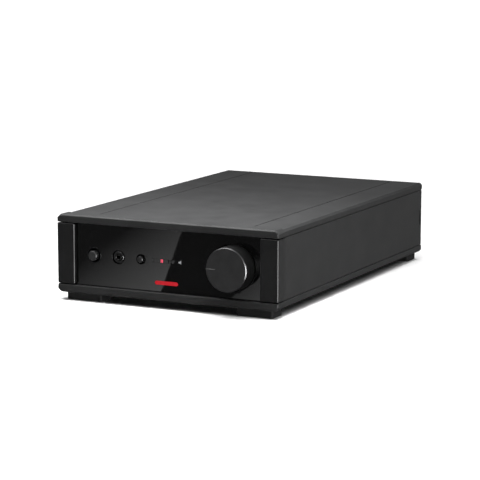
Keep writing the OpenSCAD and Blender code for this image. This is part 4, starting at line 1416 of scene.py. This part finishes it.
@dataclass
class Studio:
    """A pale floor, soft lights and the camera."""

    azimuth: float = 25.554
    elevation: float = 9.315
    roll: float = 0.169
    distance: float = 1.9835
    focal: float = 158.783
    target: Point = (0.0, 0.0016, 0.0408)
    shift: Pair = (-0.01987, -0.01001)
    overhead: tuple[float, float, float, float] = (0.7, 0.9, 0.0, 2.8)
    upper: tuple[float, float, float, float] = (0.4, 0.65, 0.0, 1.0)
    right: tuple[float, float, float, float] = (0.1, 0.9, 0.0, 1.9)
    backdrop: float = 1.15
    mirrored: float = 0.1
    floor_reach: float = 30.0
    floor_bounce: float = 0.5

    def camera(self) -> None:
        """Stands the camera off to the right of the front, a little above."""
        a, e = math.radians(self.azimuth), math.radians(self.elevation)
        back = Vector((math.sin(a) * math.cos(e), -math.cos(a) * math.cos(e), math.sin(e)))
        data = bpy.data.cameras.new("camera")
        data.lens, data.sensor_width = self.focal, 36
        data.shift_x, data.shift_y = self.shift
        data.clip_start, data.clip_end = 0.05, 100
        camera = stand("camera", data)
        camera.location = Vector(self.target) + back * self.distance
        turn = (-back).to_track_quat("-Z", "Y") @ Euler((0, 0, math.radians(self.roll))).to_quaternion()
        camera.rotation_euler = turn.to_euler()
        bpy.context.scene.camera = camera

    def floor(self) -> None:
        """A large pale floor."""
        mesh = bpy.data.meshes.new("floor")
        reach = self.floor_reach
        corners = [(-reach, -reach, 0), (reach, -reach, 0), (reach, reach, 0), (-reach, reach, 0)]
        mesh.from_pydata(corners, [], [(0, 1, 2, 3)])
        floor = stand("floor", mesh)
        n = Nodes("pale_floor")
        n.set(Roughness=0.9, Specular_IOR_Level=0.0)
        pale = n.ramp(n.noise(0.8, 2), (0.9, 0.9, 0.9), (0.92, 0.92, 0.92), n.MIDST)
        dim = n.new("ShaderNodeMix", data_type="RGBA", blend_type="MULTIPLY")
        n.link(n.new("ShaderNodeLightPath").outputs["Is Diffuse Ray"], dim.inputs["Factor"])
        n.link(pale, dim.inputs[6])
        dim.inputs[7].default_value = (*[self.floor_bounce] * 3, 1)
        n.set(Base_Color=dim.outputs[2])
        mesh.materials.append(n.material)
        floor.visible_glossy = False

    def world(self) -> None:
        """A pale backdrop that is white to look at, and dark where gloss would mirror it.

        The light that it sheds comes from overhead and from the right: with the direction (x, y, z), its
        strength is overhead(z) + right(x) * upper(z), each a ramp from its third value to its fourth as
        the coordinate goes from its first to its second.
        """
        world = bpy.data.worlds.new("studio")
        world.use_nodes = True
        n = Tree(world.node_tree)
        x, _, z = n.new("ShaderNodeSeparateXYZ", n.new("ShaderNodeTexCoord").outputs["Generated"]).outputs
        top, low, side = (
            n.new("ShaderNodeMapRange", value, *ramp).outputs["Result"]
            for value, ramp in ((z, self.overhead), (z, self.upper), (x, self.right))
        )
        glow = n.math("ADD", top, n.math("MULTIPLY", low, side))
        shed, seen, dark = (
            n.new("ShaderNodeBackground", (1, 1, 1, 1), strength).outputs[0]
            for strength in (glow, self.backdrop, self.mirrored)
        )
        path = n.new("ShaderNodeLightPath")
        mix = n.new("ShaderNodeMixShader", path.outputs["Is Glossy Ray"], shed, dark).outputs[0]
        mix = n.new("ShaderNodeMixShader", path.outputs["Is Camera Ray"], mix, seen).outputs[0]
        n.new("ShaderNodeOutputWorld", mix)
        bpy.context.scene.world = world
        bpy.context.scene.view_settings.view_transform = "Standard"

    def build(self) -> None:
        """Makes the studio."""
        self.camera()
        self.floor()
        self.world()
        Light("front_overhead", (0, -0.15, 0.28), (0, -0.15, 0), (0.4, 0.08), 2.8).build()
        Card(
            "front_card",
            ((-0.558, -1.3, -0.09), (-0.627, -1.3, -0.28), (-1.0, -1.3, -0.28), (-1.0, -1.3, -0.09)),
            1.8, (-0.7055, -1.3, -0.1672), (-0.6254, -1.3, -0.2826), 0.07,
        ).build()
        Card(
            "corner_card",
            ((-0.37, -1.3, -0.32), (-0.56, -1.3, -0.32), (-0.37, -1.3, -0.08)),
            1.2, (-0.50, -1.3, -0.18), (-0.43, -1.3, -0.25),
        ).build()
        Card(
            "side_strip",
            ((0.72, -0.9, -0.55), (1.5, -0.25, -0.55), (1.5, -0.25, 0.25), (0.72, -0.9, 0.25)), 15.0,
        ).build()
        Card(
            "rear_card", ((0.35, 1.1, -0.7), (1.3, 0.8, -0.7), (1.3, 0.8, 0.5), (0.35, 1.1, 0.5)), 0.35
        ).build()
        Card("top_card", ((-0.85, -0.7, 0.84), (0, -0.7, 0.84), (0, 0, 0.84), (-0.85, 0, 0.84)), 3.2).build()


def main() -> None:
    """Builds the studio and every piece."""
    logging.basicConfig(level=logging.INFO, format="%(name)s: %(message)s")
    looks = Looks()
    case = Case(looks)
    on_case = [kind(looks, case) for kind in (Front, Controls, Sockets)]
    for part in (Studio(), case, Feet(looks), *on_case, Inside(looks)):
        part.build()


if __name__ == "__main__":
    main()
